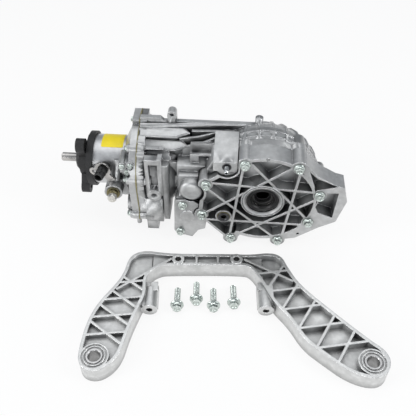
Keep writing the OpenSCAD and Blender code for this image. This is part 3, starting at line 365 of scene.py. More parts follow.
# what both castings share, and what differs
castingMetal = {"grain": 900.0, "flow": 110.0, "edgeShare": 0.9, "bumpDepth": 0.0006, "polish": -0.12}
# in each material the colour for hollows is painted shade, and the edge colour is partly wear and partly a
# painted highlight
castingValues = {
    "castAluminium": {
        "edgeRadius": 0.0014, "breakup": 0.35, "dark": (0.47, 0.475, 0.475), "middle": (0.54, 0.545, 0.545),
        "light": (0.62, 0.625, 0.63), "pocket": (0.06, 0.062, 0.066), "edge": (0.95, 0.96, 0.97),
        "metallic": 0.9, "rough": (0.28, 0.47), "bump": 0.55,
    },
    "brightCasting": {
        "edgeRadius": 0.0016, "breakup": 0.3, "dark": (0.6, 0.605, 0.6), "middle": (0.68, 0.685, 0.68),
        "light": (0.8, 0.805, 0.8), "pocket": (0.2, 0.2, 0.2), "edge": (0.98, 0.98, 0.97),
        "metallic": 0.88, "rough": (0.28, 0.45), "bump": 0.45,
    },
}

# what a plain metal has where its own values say nothing else
plainMetal = {
    "edgeRadius": 0.0005, "breakup": 0.3, "marks": 70.0, "grain": 1500.0, "edgeShare": 0.5, "metallic": 1.0,
    "bump": 0.08, "bumpDepth": 0.0003,
}
# in each material the colour for hollows is painted shade, and the edge colour is partly wear and partly a
# painted highlight
smoothValues = {
    "turnedAluminium": {
        "dark": (0.55, 0.55, 0.56), "light": (0.72, 0.73, 0.74), "pocket": (0.3, 0.3, 0.3),
        "edge": (0.9, 0.9, 0.9), "rough": (0.3, 0.42),
    },
    "zincSteel": {
        "dark": (0.5, 0.56, 0.53), "light": (0.8, 0.86, 0.82), "pocket": (0.2, 0.22, 0.21),
        "edge": (0.92, 0.95, 0.92), "rough": (0.22, 0.34), "marks": 240.0,
    },
    "steel": {
        "dark": (0.4, 0.39, 0.38), "light": (0.62, 0.6, 0.58), "pocket": (0.2, 0.2, 0.2),
        "edge": (0.85, 0.84, 0.82), "rough": (0.2, 0.32),
    },
    "darkSteel": {
        "dark": (0.06, 0.06, 0.065), "light": (0.13, 0.13, 0.135), "pocket": (0.015, 0.015, 0.015),
        "edge": (0.4, 0.4, 0.4), "rough": (0.28, 0.4),
    },
    "castIron": {
        "dark": (0.14, 0.14, 0.14), "light": (0.26, 0.26, 0.25), "pocket": (0.05, 0.05, 0.05),
        "edge": (0.45, 0.45, 0.45), "rough": (0.4, 0.6), "bump": 0.3, "grain": 700.0,
    },
    "blackSteel": {
        "dark": (0.006, 0.006, 0.007), "light": (0.016, 0.016, 0.017), "pocket": (0.003, 0.003, 0.003),
        "edge": (0.07, 0.07, 0.075), "rough": (0.42, 0.6), "metallic": 0.0, "bump": 0.25, "edgeShare": 0.35,
    },
    "blackRubber": {
        "dark": (0.005, 0.005, 0.005), "light": (0.012, 0.012, 0.012), "pocket": (0.002, 0.002, 0.002),
        "edge": (0.04, 0.04, 0.04), "rough": (0.3, 0.45), "metallic": 0.0, "edgeShare": 0.2,
    },
    "blackPlastic": {
        "dark": (0.012, 0.012, 0.012), "light": (0.022, 0.022, 0.023), "pocket": (0.005, 0.005, 0.005),
        "edge": (0.07, 0.07, 0.07), "rough": (0.4, 0.52), "metallic": 0.0, "edgeShare": 0.25,
    },
    "sealant": {
        "dark": (0.2, 0.18, 0.08), "light": (0.3, 0.27, 0.13), "pocket": (0.08, 0.07, 0.03),
        "edge": (0.4, 0.37, 0.2), "rough": (0.5, 0.65), "metallic": 0.0, "edgeShare": 0.1,
    },
    "yellowLabel": {
        "dark": (0.86, 0.68, 0.008), "light": (0.94, 0.76, 0.012), "pocket": (0.6, 0.45, 0.01),
        "edge": (0.98, 0.85, 0.2), "rough": (0.35, 0.45), "metallic": 0.0, "edgeShare": 0.1, "bump": 0.03,
    },
    "chromate": {
        "dark": (0.22, 0.19, 0.1), "light": (0.36, 0.32, 0.18), "pocket": (0.05, 0.045, 0.02),
        "edge": (0.6, 0.56, 0.42), "rough": (0.28, 0.4),
    },
    "friction": {
        "dark": (0.05, 0.04, 0.03), "light": (0.1, 0.085, 0.065), "pocket": (0.02, 0.015, 0.01),
        "edge": (0.14, 0.12, 0.1), "rough": (0.7, 0.85), "metallic": 0.0,
    },
    "sealCase": {
        "dark": (0.3, 0.3, 0.3), "light": (0.5, 0.5, 0.5), "pocket": (0.1, 0.1, 0.1),
        "edge": (0.9, 0.9, 0.88), "rough": (0.18, 0.28),
    },
    "machinedSteel": {
        "dark": (0.42, 0.42, 0.42), "light": (0.62, 0.62, 0.62), "pocket": (0.14, 0.14, 0.14),
        "edge": (0.9, 0.9, 0.9), "rough": (0.24, 0.36),
    },
    "chrome": {
        "dark": (0.62, 0.65, 0.68), "light": (0.85, 0.88, 0.9), "pocket": (0.05, 0.05, 0.05),
        "edge": (0.95, 0.97, 1.0), "rough": (0.1, 0.16),
    },
    "nickel": {
        "dark": (0.6, 0.59, 0.55), "light": (0.78, 0.77, 0.73), "pocket": (0.2, 0.19, 0.16),
        "edge": (0.92, 0.91, 0.88), "rough": (0.25, 0.36),
    },
}


def makeMaterials():
    made = {name: castMetal(name, {**castingMetal, **values}) for name, values in castingValues.items()}
    for name, values in smoothValues.items():
        made[name] = smoothMetal(name, {**plainMetal, **values})
    print("materials ready:", len(made))
    return made


def slotMaterial(slot):
    # the slot dark_steel is painted with the material darkSteel
    first, *rest = slot.split("_")
    return first + "".join(word.capitalize() for word in rest)


def paintNodes(made):
    slots = {part["node"]: part["material_slot"] for part in frame["record"]["subparts"]}
    for name, node in nodes.items():
        node.data.materials.clear()
        node.data.materials.append(made[slotMaterial(slots[name])])
    print("nodes painted")


# helpers for the modelled pieces; sizes in the dictionaries are in millimetres
mm = 0.001
outputX = 320


def applyPlace():
    bpy.ops.object.transform_apply(location=True, rotation=True, scale=True)


def editAll():
    bpy.ops.object.mode_set(mode="EDIT")
    bpy.ops.mesh.select_all(action="SELECT")


def closeEdit():
    # faces turned outwards, back to object mode
    bpy.ops.mesh.select_all(action="SELECT")
    bpy.ops.mesh.normals_make_consistent(inside=False)
    bpy.ops.object.mode_set(mode="OBJECT")


def turnedPiece(name, profile, steps=48, closeStart=True, closeEnd=True):
    # a body of revolution about +Z: a circle extruded and scaled along (height, radius) pairs
    clearSelection()
    height, radius = profile[0]
    bpy.ops.mesh.primitive_circle_add(vertices=steps, radius=radius * mm, location=(0, 0, height * mm),
                                      fill_type="NGON" if closeStart else "NOTHING")
    piece = bpy.context.object
    piece.name = name
    applyPlace()
    bpy.ops.object.mode_set(mode="EDIT")
    bpy.ops.mesh.select_mode(type="EDGE")
    bpy.ops.mesh.select_all(action="SELECT")
    for nextHeight, nextRadius in profile[1:]:
        bpy.ops.mesh.extrude_edges_move(TRANSFORM_OT_translate={"value": (0, 0, (nextHeight - height) * mm)})
        scale = nextRadius / radius
        bpy.ops.transform.resize(value=(scale, scale, 1), center_override=(0, 0, nextHeight * mm))
        height, radius = nextHeight, nextRadius
    if closeEnd:
        bpy.ops.mesh.edge_face_add()
    bpy.ops.mesh.select_all(action="SELECT")
    bpy.ops.mesh.remove_doubles(threshold=0.000001)
    closeEdit()
    return piece


def finishModifiers(piece):
    makeActive(piece)
    for modifier in list(piece.modifiers):
        bpy.ops.object.modifier_apply(modifier=modifier.name)


def softenEdges(piece, width, segments=2, angle=35):
    bevel = piece.modifiers.new("edges", "BEVEL")
    bevel.width = width * mm
    bevel.segments = segments
    bevel.limit_method = "ANGLE"
    bevel.angle_limit = radians(angle)
    bevel.harden_normals = False
    finishModifiers(piece)


def place(piece, matrix):
    makeActive(piece)
    piece.matrix_world = matrix
    applyPlace()
    return piece


def copyPiece(piece, name):
    twin = piece.copy()
    twin.data = piece.data.copy()
    twin.name = name
    bpy.context.scene.collection.objects.link(twin)
    return twin


def makeActive(piece):
    clearSelection()
    piece.select_set(True)
    bpy.context.view_layer.objects.active = piece


def mergedCopy(node, name, threshold=0.000001):
    # a copy of a CAD node, its loose triangles merged into one skin
    twin = copyPiece(nodes[node], name)
    twin.hide_render = False
    makeActive(twin)
    editAll()
    bpy.ops.mesh.remove_doubles(threshold=threshold)
    bpy.ops.object.mode_set(mode="OBJECT")
    return twin


def joinPieces(name, parts):
    clearSelection()
    for part in parts:
        part.select_set(True)
    bpy.context.view_layer.objects.active = parts[0]
    if len(parts) > 1:
        bpy.ops.object.join()
    whole = bpy.context.object
    whole.name = name
    whole.data.name = name
    return whole


def finishPiece(piece, material, replaced=(), smooth=35):
    makeActive(piece)
    bpy.ops.object.shade_smooth_by_angle(angle=radians(smooth))
    piece.data.materials.clear()
    piece.data.materials.append(materials[material])
    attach(piece, "housing")
    if replaced:
        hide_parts(*replaced)
    clearSelection()


def cutWith(piece, cutter, kind="DIFFERENCE"):
    cut = piece.modifiers.new("cut", "BOOLEAN")
    cut.operation = kind
    cut.object = cutter
    cut.solver = "MANIFOLD"
    finishModifiers(piece)
    bpy.data.objects.remove(cutter)


def threadRidge(name, root, crest, pitch, turns, start, steps):
    clearSelection()
    bpy.ops.mesh.primitive_circle_add(vertices=3, radius=pitch * 0.5 * mm)
    ridge = bpy.context.object
    ridge.name = name
    points = [(root - 0.1, -pitch * 0.47), (crest, 0), (root - 0.1, pitch * 0.47)]
    for vertex, (x, z) in zip(ridge.data.vertices, points):
        vertex.co = (x * mm, 0, (z + start) * mm)
    screw = ridge.modifiers.new("thread", "SCREW")
    screw.angle = radians(360)
    screw.screw_offset = pitch * mm
    screw.iterations = turns
    screw.steps = screw.render_steps = steps
    screw.use_merge_vertices = True
    finishModifiers(ridge)
    editAll()
    closeEdit()
    return ridge


def turn(angle, axis="Z"):
    return Matrix.Rotation(radians(angle), 4, axis)


def shift(x, y, z=0):
    return Matrix.Translation((x * mm, y * mm, z * mm))


def facingNear(x, y, z, angle=0):
    # local +Z points at the near side, along -Y
    return shift(x, y, z) @ turn(90, "X") @ turn(angle)


def facingFront(x, y, z):
    # local +Z points at the input end, along -X
    return shift(x, y, z) @ turn(-90, "Y")


def turnedRing(name, profile, steps):
    return turnedPiece(name, profile + [profile[0]], steps, False, False)


def hexagonBar(radius, depth, middle):
    clearSelection()
    bpy.ops.mesh.primitive_cylinder_add(vertices=6, radius=radius * mm, depth=depth * mm,
                                        location=(0, 0, middle * mm))
    applyPlace()
    return bpy.context.object


# flanged hexagon bolts, one pattern for every size
boltValues = {
    "dish": 0.4, "dishDepth": 1.3, "steps": 40, "dishSteps": 32, "shankSteps": 24, "threadDepth": 0.55,
    # the washer: shares of the head's height and of the flange's radius
    "washer": [(0, 0.96), (0.03, 1), (0.15, 1), (0.24, 0.94), (0.44, 0.7), (0.5, 0.5)],
    "side": {"shank": 4, "flange": 8.9, "head": 8.5, "length": 50, "pitch": 0},
    "coupling": {"shank": 3, "flange": 6.6, "head": 6, "length": 30, "pitch": 0},
    "access": {"shank": 3, "flange": 7.9, "head": 7, "length": 20, "pitch": 0},
    "pump": {"shank": 2, "flange": 5.4, "head": 4.5, "length": 9, "pitch": 0},
    "kit": {"shank": 5, "flange": 10.9, "head": 10, "length": 36, "pitch": 1.5},
}


def makeBolt(name, v):
    b = boltValues
    flange, head, shank = v["flange"], v["head"], v["shank"]
    form = [(0, shank * 0.9)] + [(head * height, flange * radius) for height, radius in b["washer"]]
    washer = turnedPiece(name + "Washer", form, b["steps"])
    hexagon = hexagonBar(flange * 0.72, head * 0.8, head * 0.6)
    # the corners of the hexagon are turned off by a wide cone
    cone = turnedPiece(name + "Cone", [
        (-1, flange * 0.9), (head * 0.86, flange * 0.9), (head + 0.01, flange * 0.585),
        (head + 0.02, flange * 0.3)], b["steps"])
    dish = turnedPiece(name + "Dish", [
        (head - b["dishDepth"], flange * 0.2), (head - b["dishDepth"] * 0.85, flange * 0.34),
        (head + 1, flange * b["dish"] + 0.9)], b["dishSteps"])
    for other, kind in ((cone, "INTERSECT"), (dish, "DIFFERENCE")):
        cutWith(hexagon, other, kind)
    parts = [hexagon, washer]
    end = -v["length"]
    if v["pitch"]:
        pitch, root = v["pitch"], shank - b["threadDepth"]
        turns = int((v["length"] - 8) / pitch)
        form = [(end, root * 0.7), (end + 1.2, root), (-8, root), (-7.2, shank), (0.2, shank)]
        core = turnedPiece(name + "Core", form, b["dishSteps"])
        ridge = threadRidge(name + "Thread", root, shank, pitch, turns, 1.6 - v["length"], b["shankSteps"])
        parts += [core, ridge]
    else:
        form = [(end, shank * 0.8), (end + 1, shank), (0.2, shank)]
        parts.append(turnedPiece(name + "Shank", form, b["shankSteps"]))
    return joinPieces(name, parts)


def placeBolts(name, pattern, places, node, turns):
    parts = []
    for number, matrix in enumerate(places):
        twin = copyPiece(pattern, name + str(number))
        parts.append(place(twin, matrix @ turn(turns * number * 17 % 60)))
    bpy.data.objects.remove(pattern)
    finishPiece(joinPieces(name, parts), "zincSteel", (node,))


boltPlaces = {
    "side": [(53, 76), (92, 19), (80, -45), (32, -95), (-51, -95), (-101, -39), (-94, 31), (-32, 78)],
    "sideY": -88,
    "coupling": [(30.43, -65.25), (66.76, -26.97), (67.66, 24.63), (38.15, 61.06), (-40.26, 59.69),
                 (-69.86, 17.42), (-72, -62), (-36, -84)],
    "couplingX": 92,
    "access": [(-134, -22), (-140, -88)],
    "accessY": -85,
    "pump": [(85, 42), (99, 44), (93, 30)],
    "pumpY": -66,
    "kitPlace": (233, -155), "kitTurn": 4, "kitLean": 9.43,
    "kit": [(-49, -78), (-18, -66), (10, -79), (43, -73)],
    "kitHeight": 10.803,
    "sets": [("side", "sideCoverBolts", "side_cover_bolts", 1),
             ("coupling", "couplingCoverBolts", "coupling_cover_bolts", 2),
             ("access", "accessCoverBolts", "access_cover_bolts", 1),
             ("pump", "pumpScrews", "pump_screws", 1),
             ("kit", "bracketBolts", "bracket_bolts", 2)],
}


def kitMatrix():
    # the frame of the loose bracket, on the floor
    v = boltPlaces
    return shift(*v["kitPlace"], cadBox[0][2] / mm) @ turn(v["kitTurn"])


def makeBolts():
    v = boltPlaces
    kit = kitMatrix()
    places = {
        "side": [facingNear(outputX + x, v["sideY"], z) for x, z in v["side"]],
        "coupling": [facingFront(v["couplingX"], y, z) for y, z in v["coupling"]],
        "access": [facingNear(outputX + x, v["accessY"], z) for x, z in v["access"]],
        "pump": [facingNear(x, v["pumpY"], z) for x, z in v["pump"]],
        "kit": [kit @ shift(x, y, v["kitHeight"]) @ turn(90 - v["kitLean"], "X") for x, y in v["kit"]],
    }
    for size, name, node, turns in v["sets"]:
        placeBolts(name, makeBolt(size + "Bolt", boltValues[size]), places[size], node, turns)
    print("bolts ready")


# oil seals in the two output bores, with a folded lip and a metal case
sealValues = {
    "steps": 96,
    "case": [(-8, 28.9), (-0.2, 28.9), (0, 28.6), (0, 27.7), (-0.4, 27.3), (-3.4, 27.1), (-3.4, 26.6),
             (-8, 26.6)],
    "lip": [(-7.8, 27), (-3.5, 27), (-2.6, 26.2), (-2.5, 25.2), (-3.6, 24.2), (-3.8, 23.2), (-2.2, 21.8),
            (-1.8, 20.9), (-2.6, 20.1), (-4.6, 19.6), (-5, 18.9), (-3.8, 18.1), (-4, 17.6), (-5.4, 17.5),
            (-6.6, 18.4), (-7.6, 20.4)],
    "sides": [("near", -88, 90, "near_output_seal"), ("far", 70, -90, "far_output_seal")],
}


def makeSeals():
    v = sealValues
    for side, y, angle, node in v["sides"]:
        matrix = shift(outputX, y) @ turn(angle, "X")
        case = turnedRing(side + "SealCase", v["case"], v["steps"])
        lip = turnedRing(side + "SealLip", v["lip"], v["steps"])
        finishPiece(place(case, matrix), "sealCase", (node,))
        finishPiece(place(lip, matrix), "blackRubber", (node,), 60)
    print("seals ready")


# steel sleeves pressed into the bracket ends, with a raised inner ring
bushValues = {
    "steps": 72,
    "profile": [(0.5, 9), (0, 9.5), (0, 14.5), (0.5, 15), (29.5, 15), (30, 14.6), (30, 13.9), (29.4, 13.6),
                (29.4, 13.1), (30.4, 12.9), (31, 12.4), (31, 9.9), (30.1, 9)],
    "places": [("leftBush", "left_bush", -167, -183), ("rightBush", "right_bush", 243, -193)],
}


def makeBushes():
    v = bushValues
    for name, node, x, y in v["places"]:
        bush = turnedRing(name + "Ring", v["profile"], v["steps"])
        place(bush, kitMatrix() @ shift(x, y))
        finishPiece(bush, "machinedSteel", (node,))
    print("bushes ready")


# oil plug with an internal hexagon, on a soft metal washer
plugValues = {
    "at": (256, -88, -42), "turn": 12,
    "body": [(-14, 7.6), (-13, 8.4), (-0.5, 8.4), (0.4, 10.1), (2.4, 10.5), (3, 10)],
    "washer": [(0, 10), (0, 11), (0.3, 11.3), (0.9, 11.3), (1.2, 11), (1.2, 10)],
    "socket": 5.2, "socketDepth": 7, "lead": [(0.8, 5.4), (3.2, 7.6)],
    "steps": 48,
}


def makeFillPlug():
    v = plugValues
    body = turnedPiece("fillPlugBody", v["body"], v["steps"])
    lead = turnedPiece("fillPlugLead", v["lead"], v["steps"])
    cutWith(body, lead)
    cutWith(body, hexagonBar(v["socket"], v["socketDepth"], 2 - v["socketDepth"] / 2))
    matrix = facingNear(*v["at"], v["turn"])
    finishPiece(place(body, matrix), "darkSteel", ("fill_plug",))
    washer = turnedRing("fillPlugWasher", v["washer"], v["steps"])
    finishPiece(place(washer, matrix), "chromate")
    print("oil plug ready")


# vent pin: a plated tube with a beaded end, and a dark ring at its foot that is painted shade for the recess
# round it
ventValues = {
    "at": (259, -84, 68),
    "tube": [(-10, 3.7), (0.6, 3.7), (1.2, 4.1), (2, 4.1), (2.6, 3.7), (10.6, 3.7), (11.2, 4), (12.4, 4),
             (13, 3.6), (14.6, 2.9), (15, 2.5), (14.6, 2.1), (6, 2), (5.6, 0.3)],
    "seat": [(0.1, 3.7), (0.1, 7.3), (0.5, 7.5), (0.8, 7.2), (0.5, 6.4), (0.4, 3.8)],
    "steps": 40,
}


def makeVentPin():
    v = ventValues
    matrix = facingNear(*v["at"])
    tube = turnedPiece("ventTube", v["tube"], v["steps"])
    finishPiece(place(tube, matrix), "chrome", ("vent_pin",))
    # painted shade: a dark ring stands in for the shadow of the recess round the pin
    seat = turnedRing("ventSeat", v["seat"], v["steps"])
    finishPiece(place(seat, matrix), "darkSteel")
    print("vent pin ready")


# plug in the pump barrel: a plated thread and a bright cap
barrelPlugValues = {
    "at": (66, -72, -13),
    "core": [(-10, 6.9), (8.2, 6.4)],
    "cap": [(8, 6), (8.2, 7.1), (8.8, 7.6), (15.6, 7.6), (16.6, 7), (17, 6), (17, 3.4), (16.5, 3),
            (16.5, 0.4)],
    # root, crest, pitch, turns and start of the thread
    "thread": (6.9, 7.8, 1.5, 5, 0.6), "steps": 40,
}


def makeBarrelPlug():
    v = barrelPlugValues
    matrix = facingNear(*v["at"])
    core = turnedPiece("plugCore", v["core"], v["steps"])
    ridge = threadRidge("plugRidge", *v["thread"], v["steps"])
    thread = joinPieces("plugThread", [core, ridge])
    finishPiece(place(thread, matrix), "chromate", ("barrel_plug",))
    cap = turnedPiece("plugCap", v["cap"], v["steps"])
    finishPiece(place(cap, matrix), "nickel", ("barrel_plug",))
    print("barrel plug ready")


# round two-pin connector: fluted barrel, collar, latch and pins
connectorValues = {
    "at": (50, -56, 26), "turn": -12,
    "shell": [(-12, 7), (-11, 7.6), (-4.4, 7.6), (-4, 9.6), (-3.4, 10.2), (-1, 10.2), (-0.4, 9.6), (0, 8),
              (7.4, 7.8), (8, 8.8), (10, 8.8), (10.6, 7.8), (21.8, 7.8), (23, 7.2), (23, 6.1), (22, 5.8),
              (9.2, 5.8), (9, 3), (15.6, 2.7), (16, 2.2), (16, 0.3)],
    "flute": (0.9, 0.9, 9.5), "fluteCount": 14, "fluteFrom": 11, "fluteRadius": 7.7, "fluteGap": 32,
    # bars of the latch: name, size, centre, bevel
    "latch": [("latchTop", (5, 3.6, 14), (0, 8, 12), 0.6),
              ("latchTongue", (7.4, 1.1, 5), (0, 9.8, 15.4), 0.35),
              ("latchRail", (0.9, 3, 16), (-3.6, 7.3, 12), 0.3),
              ("latchRail", (0.9, 3, 16), (3.6, 7.3, 12), 0.3)],
    "pin": (0.7, 1.7, 6), "pinX": 4.03, "pinZ": 12,
    "steps": 56,
}


def barPiece(name, size, centre, bevel):
    clearSelection()
    location, scale = (tuple(value * mm for value in values) for values in (centre, size))
    bpy.ops.mesh.primitive_cube_add(size=1, location=location, scale=scale)
    bar = bpy.context.object
    bar.name = name
    applyPlace()
    softenEdges(bar, bevel, 2)
    return bar


def makeConnector():
    v = connectorValues
    matrix = shift(*v["at"]) @ turn(v["turn"]) @ turn(90, "X")
    parts = [turnedPiece("connectorShell", v["shell"], v["steps"])]
    middle = v["fluteFrom"] + v["flute"][2] / 2
    flute = barPiece("connectorFlute", v["flute"], (v["fluteRadius"], 0, middle), 0.25)
    for number in range(v["fluteCount"]):
        angle = 360 / v["fluteCount"] * (number + 0.5)
        if abs(angle - 90) >= v["fluteGap"]:
            parts.append(place(copyPiece(flute, "flute" + str(number)), turn(angle)))
    bpy.data.objects.remove(flute)
    parts += [barPiece(*bar) for bar in v["latch"]]
    body = joinPieces("connectorBody", parts)
    finishPiece(place(body, matrix), "blackPlastic", ("connector",))
    pins = [barPiece("pin", v["pin"], (x, 0, v["pinZ"]), 0.15) for x in (-v["pinX"], v["pinX"])]
    finishPiece(place(joinPieces("connectorPins", pins), matrix), "nickel")
    print("connector ready")


# sealant squeezed out along the coupling joint
beadValues = {"spread": 0.75, "lump": 0.02, "middle": 0.12, "cuts": 2}


def makeSealantBead():
    v = beadValues
    bead = mergedCopy("joint_sealant", "sealantBead", 0.00001)
    editAll()
    bpy.ops.mesh.subdivide(number_cuts=v["cuts"])
    bpy.ops.object.mode_set(mode="OBJECT")
    pattern = bpy.data.textures.new("beadLumps", "CLOUDS")
    pattern.noise_scale = v["lump"]
    pattern.noise_depth = 2
    swell = bead.modifiers.new("swell", "DISPLACE")
    swell.texture = pattern
    swell.strength = v["spread"] * mm * 2
    swell.mid_level = v["middle"]
    finishModifiers(bead)
    finishPiece(bead, "sealant", ("joint_sealant",), 50)
    print("sealant bead ready")


# blank label with rounded corners, wrapped round the sleeve
labelValues = {
    "from": 40, "length": 38, "middle": 13, "sweep": 70, "radius": 43.62, "corner": 2.6, "thickness": 0.22,
    "cuts": 36,
}


def makeLabel():
    v = labelValues
    arc = radians(v["sweep"]) * v["radius"]
    clearSelection()
    bpy.ops.mesh.primitive_plane_add(size=1, location=(0, 0, 0))
    label = bpy.context.object
    label.name = "blankLabel"
    label.scale = (v["length"] * mm, arc * mm, 1)
    applyPlace()
    editAll()
    bpy.ops.mesh.bevel(offset=v["corner"] * mm, segments=6, affect="VERTICES")
    for number in range(1, v["cuts"]):
        bpy.ops.mesh.select_all(action="SELECT")
        bpy.ops.mesh.bisect(plane_co=(0, (number / v["cuts"] - 0.5) * arc * mm, 0), plane_no=(0, 1, 0))
    bpy.ops.object.mode_set(mode="OBJECT")
    radius, centre = v["radius"], v["from"] + v["length"] / 2
    for vertex in label.data.vertices:
        x, along = vertex.co.x / mm, vertex.co.y / mm
        angle = radians(v["middle"]) + along / radius
        vertex.co = ((centre + x) * mm, radius * sin(angle) * mm, radius * cos(angle) * mm)
    wall = label.modifiers.new("wall", "SOLIDIFY")
    wall.thickness = v["thickness"] * mm
    wall.offset = 0
    finishModifiers(label)
    editAll()
    closeEdit()
    finishPiece(label, "yellowLabel", ("plain_label",), 30)
    print("label ready")


# castings: outlines are drawn in millimetres and given their depth
def outlinePlate(name, points, low, high, across="y"):
    clearSelection()
    bpy.ops.mesh.primitive_circle_add(vertices=len(points), radius=0.01)
    plate = bpy.context.object
    plate.name = name
    for vertex, (u, w) in zip(plate.data.vertices, points):
        corner = {"x": (low, u, w), "y": (u, low, w), "z": (u, w, low)}[across]
        vertex.co = tuple(value * mm for value in corner)
    step = (high - low) * mm
    editAll()
    bpy.ops.mesh.edge_face_add()
    bpy.ops.mesh.extrude_region_move(TRANSFORM_OT_translate={
        "value": {"x": (step, 0, 0), "y": (0, step, 0), "z": (0, 0, step)}[across]})
    closeEdit()
    return plate


def outputPlate(name, points, low, high):
    # its points are measured from the output axis, like the places of the discs and rods below
    return outlinePlate(name, [(outputX + x, z) for x, z in points], low, high)


def discAlong(name, profile, x=0, z=0, steps=96):
    # a turned body along -Y, its profile in (distance towards the near side, radius)
    return place(turnedPiece(name, profile, steps), facingNear(outputX + x, 0, z))


def rodAlong(name, radius, low, high, x=0, z=0, steps=64):
    # a round bar along Y, from low to high
    return discAlong(name, [(-high, radius), (-low, radius)], x, z, steps)


def addTo(piece, other):
    cutWith(piece, other, "UNION")


def roundOutline(points, radius, steps=10):
    # the outline round a set of circles of one radius
    angles = [2 * pi * i / (steps * 4) for i in range(steps * 4)]
    cloud = [Vector((x + radius * cos(angle), z + radius * sin(angle)))
             for x, z in points for angle in angles]
    return [tuple(cloud[i]) for i in convex_hull_2d(cloud)]


def ribOutline(first, second, width):
    along = (Vector(second) - Vector(first)).normalized() * width / 2
    side = Vector((-along.y, along.x))
    a, b = Vector(first), Vector(second)
    return [tuple(p) for p in (a - along + side, a - along - side, b + along - side, b + along + side)]


# round cover with star ribs, an ear with two pockets and the output boss
coverValues = {
    "front": -88, "split": -52, "nearFace": -90, "rimRadius": 93, "rimWidth": 6.5, "depth": 20,
    "padRadius": 13, "padInner": 11, "neck": (0.75, 0.96, 21), "outRim": 36, "outBoss": 43, "ribWidth": 4,
    "arcRib": 88, "arcSweep": (-42, 60), "rimSteps": 128, "gap": 1.5, "wall": 4,
    "bolts": boltPlaces["side"],
    "ribs": [((-94, 36), (90, 24)), ((-34, 78), (-53, -92)), ((57, 74), (38, -92)), ((-20, 78), (78, -40)),
             ((42, 74), (-96, -36)), ((-92, 22), (26, -90)), ((-98, -51), (80, -53)), ((-46, -90), (90, 10))],
    "earBack": -56, "earDepth": 24,
    "ear": [(56, 84), (64, 84), (84, 61), (116, 42), (130, 38), (138, 8), (126, -41), (100, -57), (62, -87),
            (42, -92), (36, -70)],
    "earPockets": [[(70, 70), (84, 56), (120, 40), (96, 33), (84, 30)],
                   [(98, 25), (122, 26), (119, -32), (94, -22), (88, -8)]],
    "fill": (-64, -42), "fillBoss": 14, "earHole": (66, -76), "vent": (-61, 68), "ventLug": 17.5,
    "tower": (-83, -44, 59, 86), "dome": (-119, 10), "domeRadius": 20.5,
    "notch": [(-2, 96), (3, 84), (8, 96)],
    "bores": [[(51, 80), (63, 80)], [(51, 31.4), (78, 31.4)], [(50, 26), (91, 26)],
              [(80, 29), (87.5, 29), (90.5, 32)]],
    "fillBore": [(50, 8.6), (91, 8.6)], "earBore": [(70, 2.5), (91, 2.5)],
    "groove": [(88, 32.6), (91, 32.6), (91, 34.4), (88, 34.4)],
}


def boxOutline(left, right, low, high):
    return [(left, low), (right, low), (right, high), (left, high)]


def towerOutline(v, grow, high):
    left, right, low = v["tower"][:3]
    return boxOutline(left - grow, right + grow, low, high)


def coverOutline(name, v, low, high, grow=0, pads=True):
    # round rim, bolt pads and the straight corner at the lower left
    bolts, steps = v["bolts"], v["rimSteps"]
    rim, width = v["rimRadius"] + grow, v["rimWidth"] + grow
    circle = [(rim * cos(2 * pi * i / steps), rim * sin(2 * pi * i / steps)) for i in range(steps)]
    around = roundOutline([bolts[i] for i in (0, 1, 2, 5, 6, 7)], width, 6)
    (x5, z5), (x4, z4) = bolts[5], bolts[4]
    corner = [(x5 - width, z5), (x5 - 3, z5 - width), (x4 - 2, z4 - width), (x4, z4), (0, 0)]
    body = outputPlate(name, circle, low, high)
    for points in (around, corner):
        addTo(body, outputPlate("rimPart", points, low, high))
    if pads:
        inner, outer, wide = v["neck"]
        for x, z in bolts:
            addTo(body, rodAlong("pad", v["padRadius"] + grow, low, high, x, z, 40))
            neck = ribOutline((x * inner, z * inner), (x * outer, z * outer), wide)
            addTo(body, outputPlate("neck", neck, low, high))
    return body


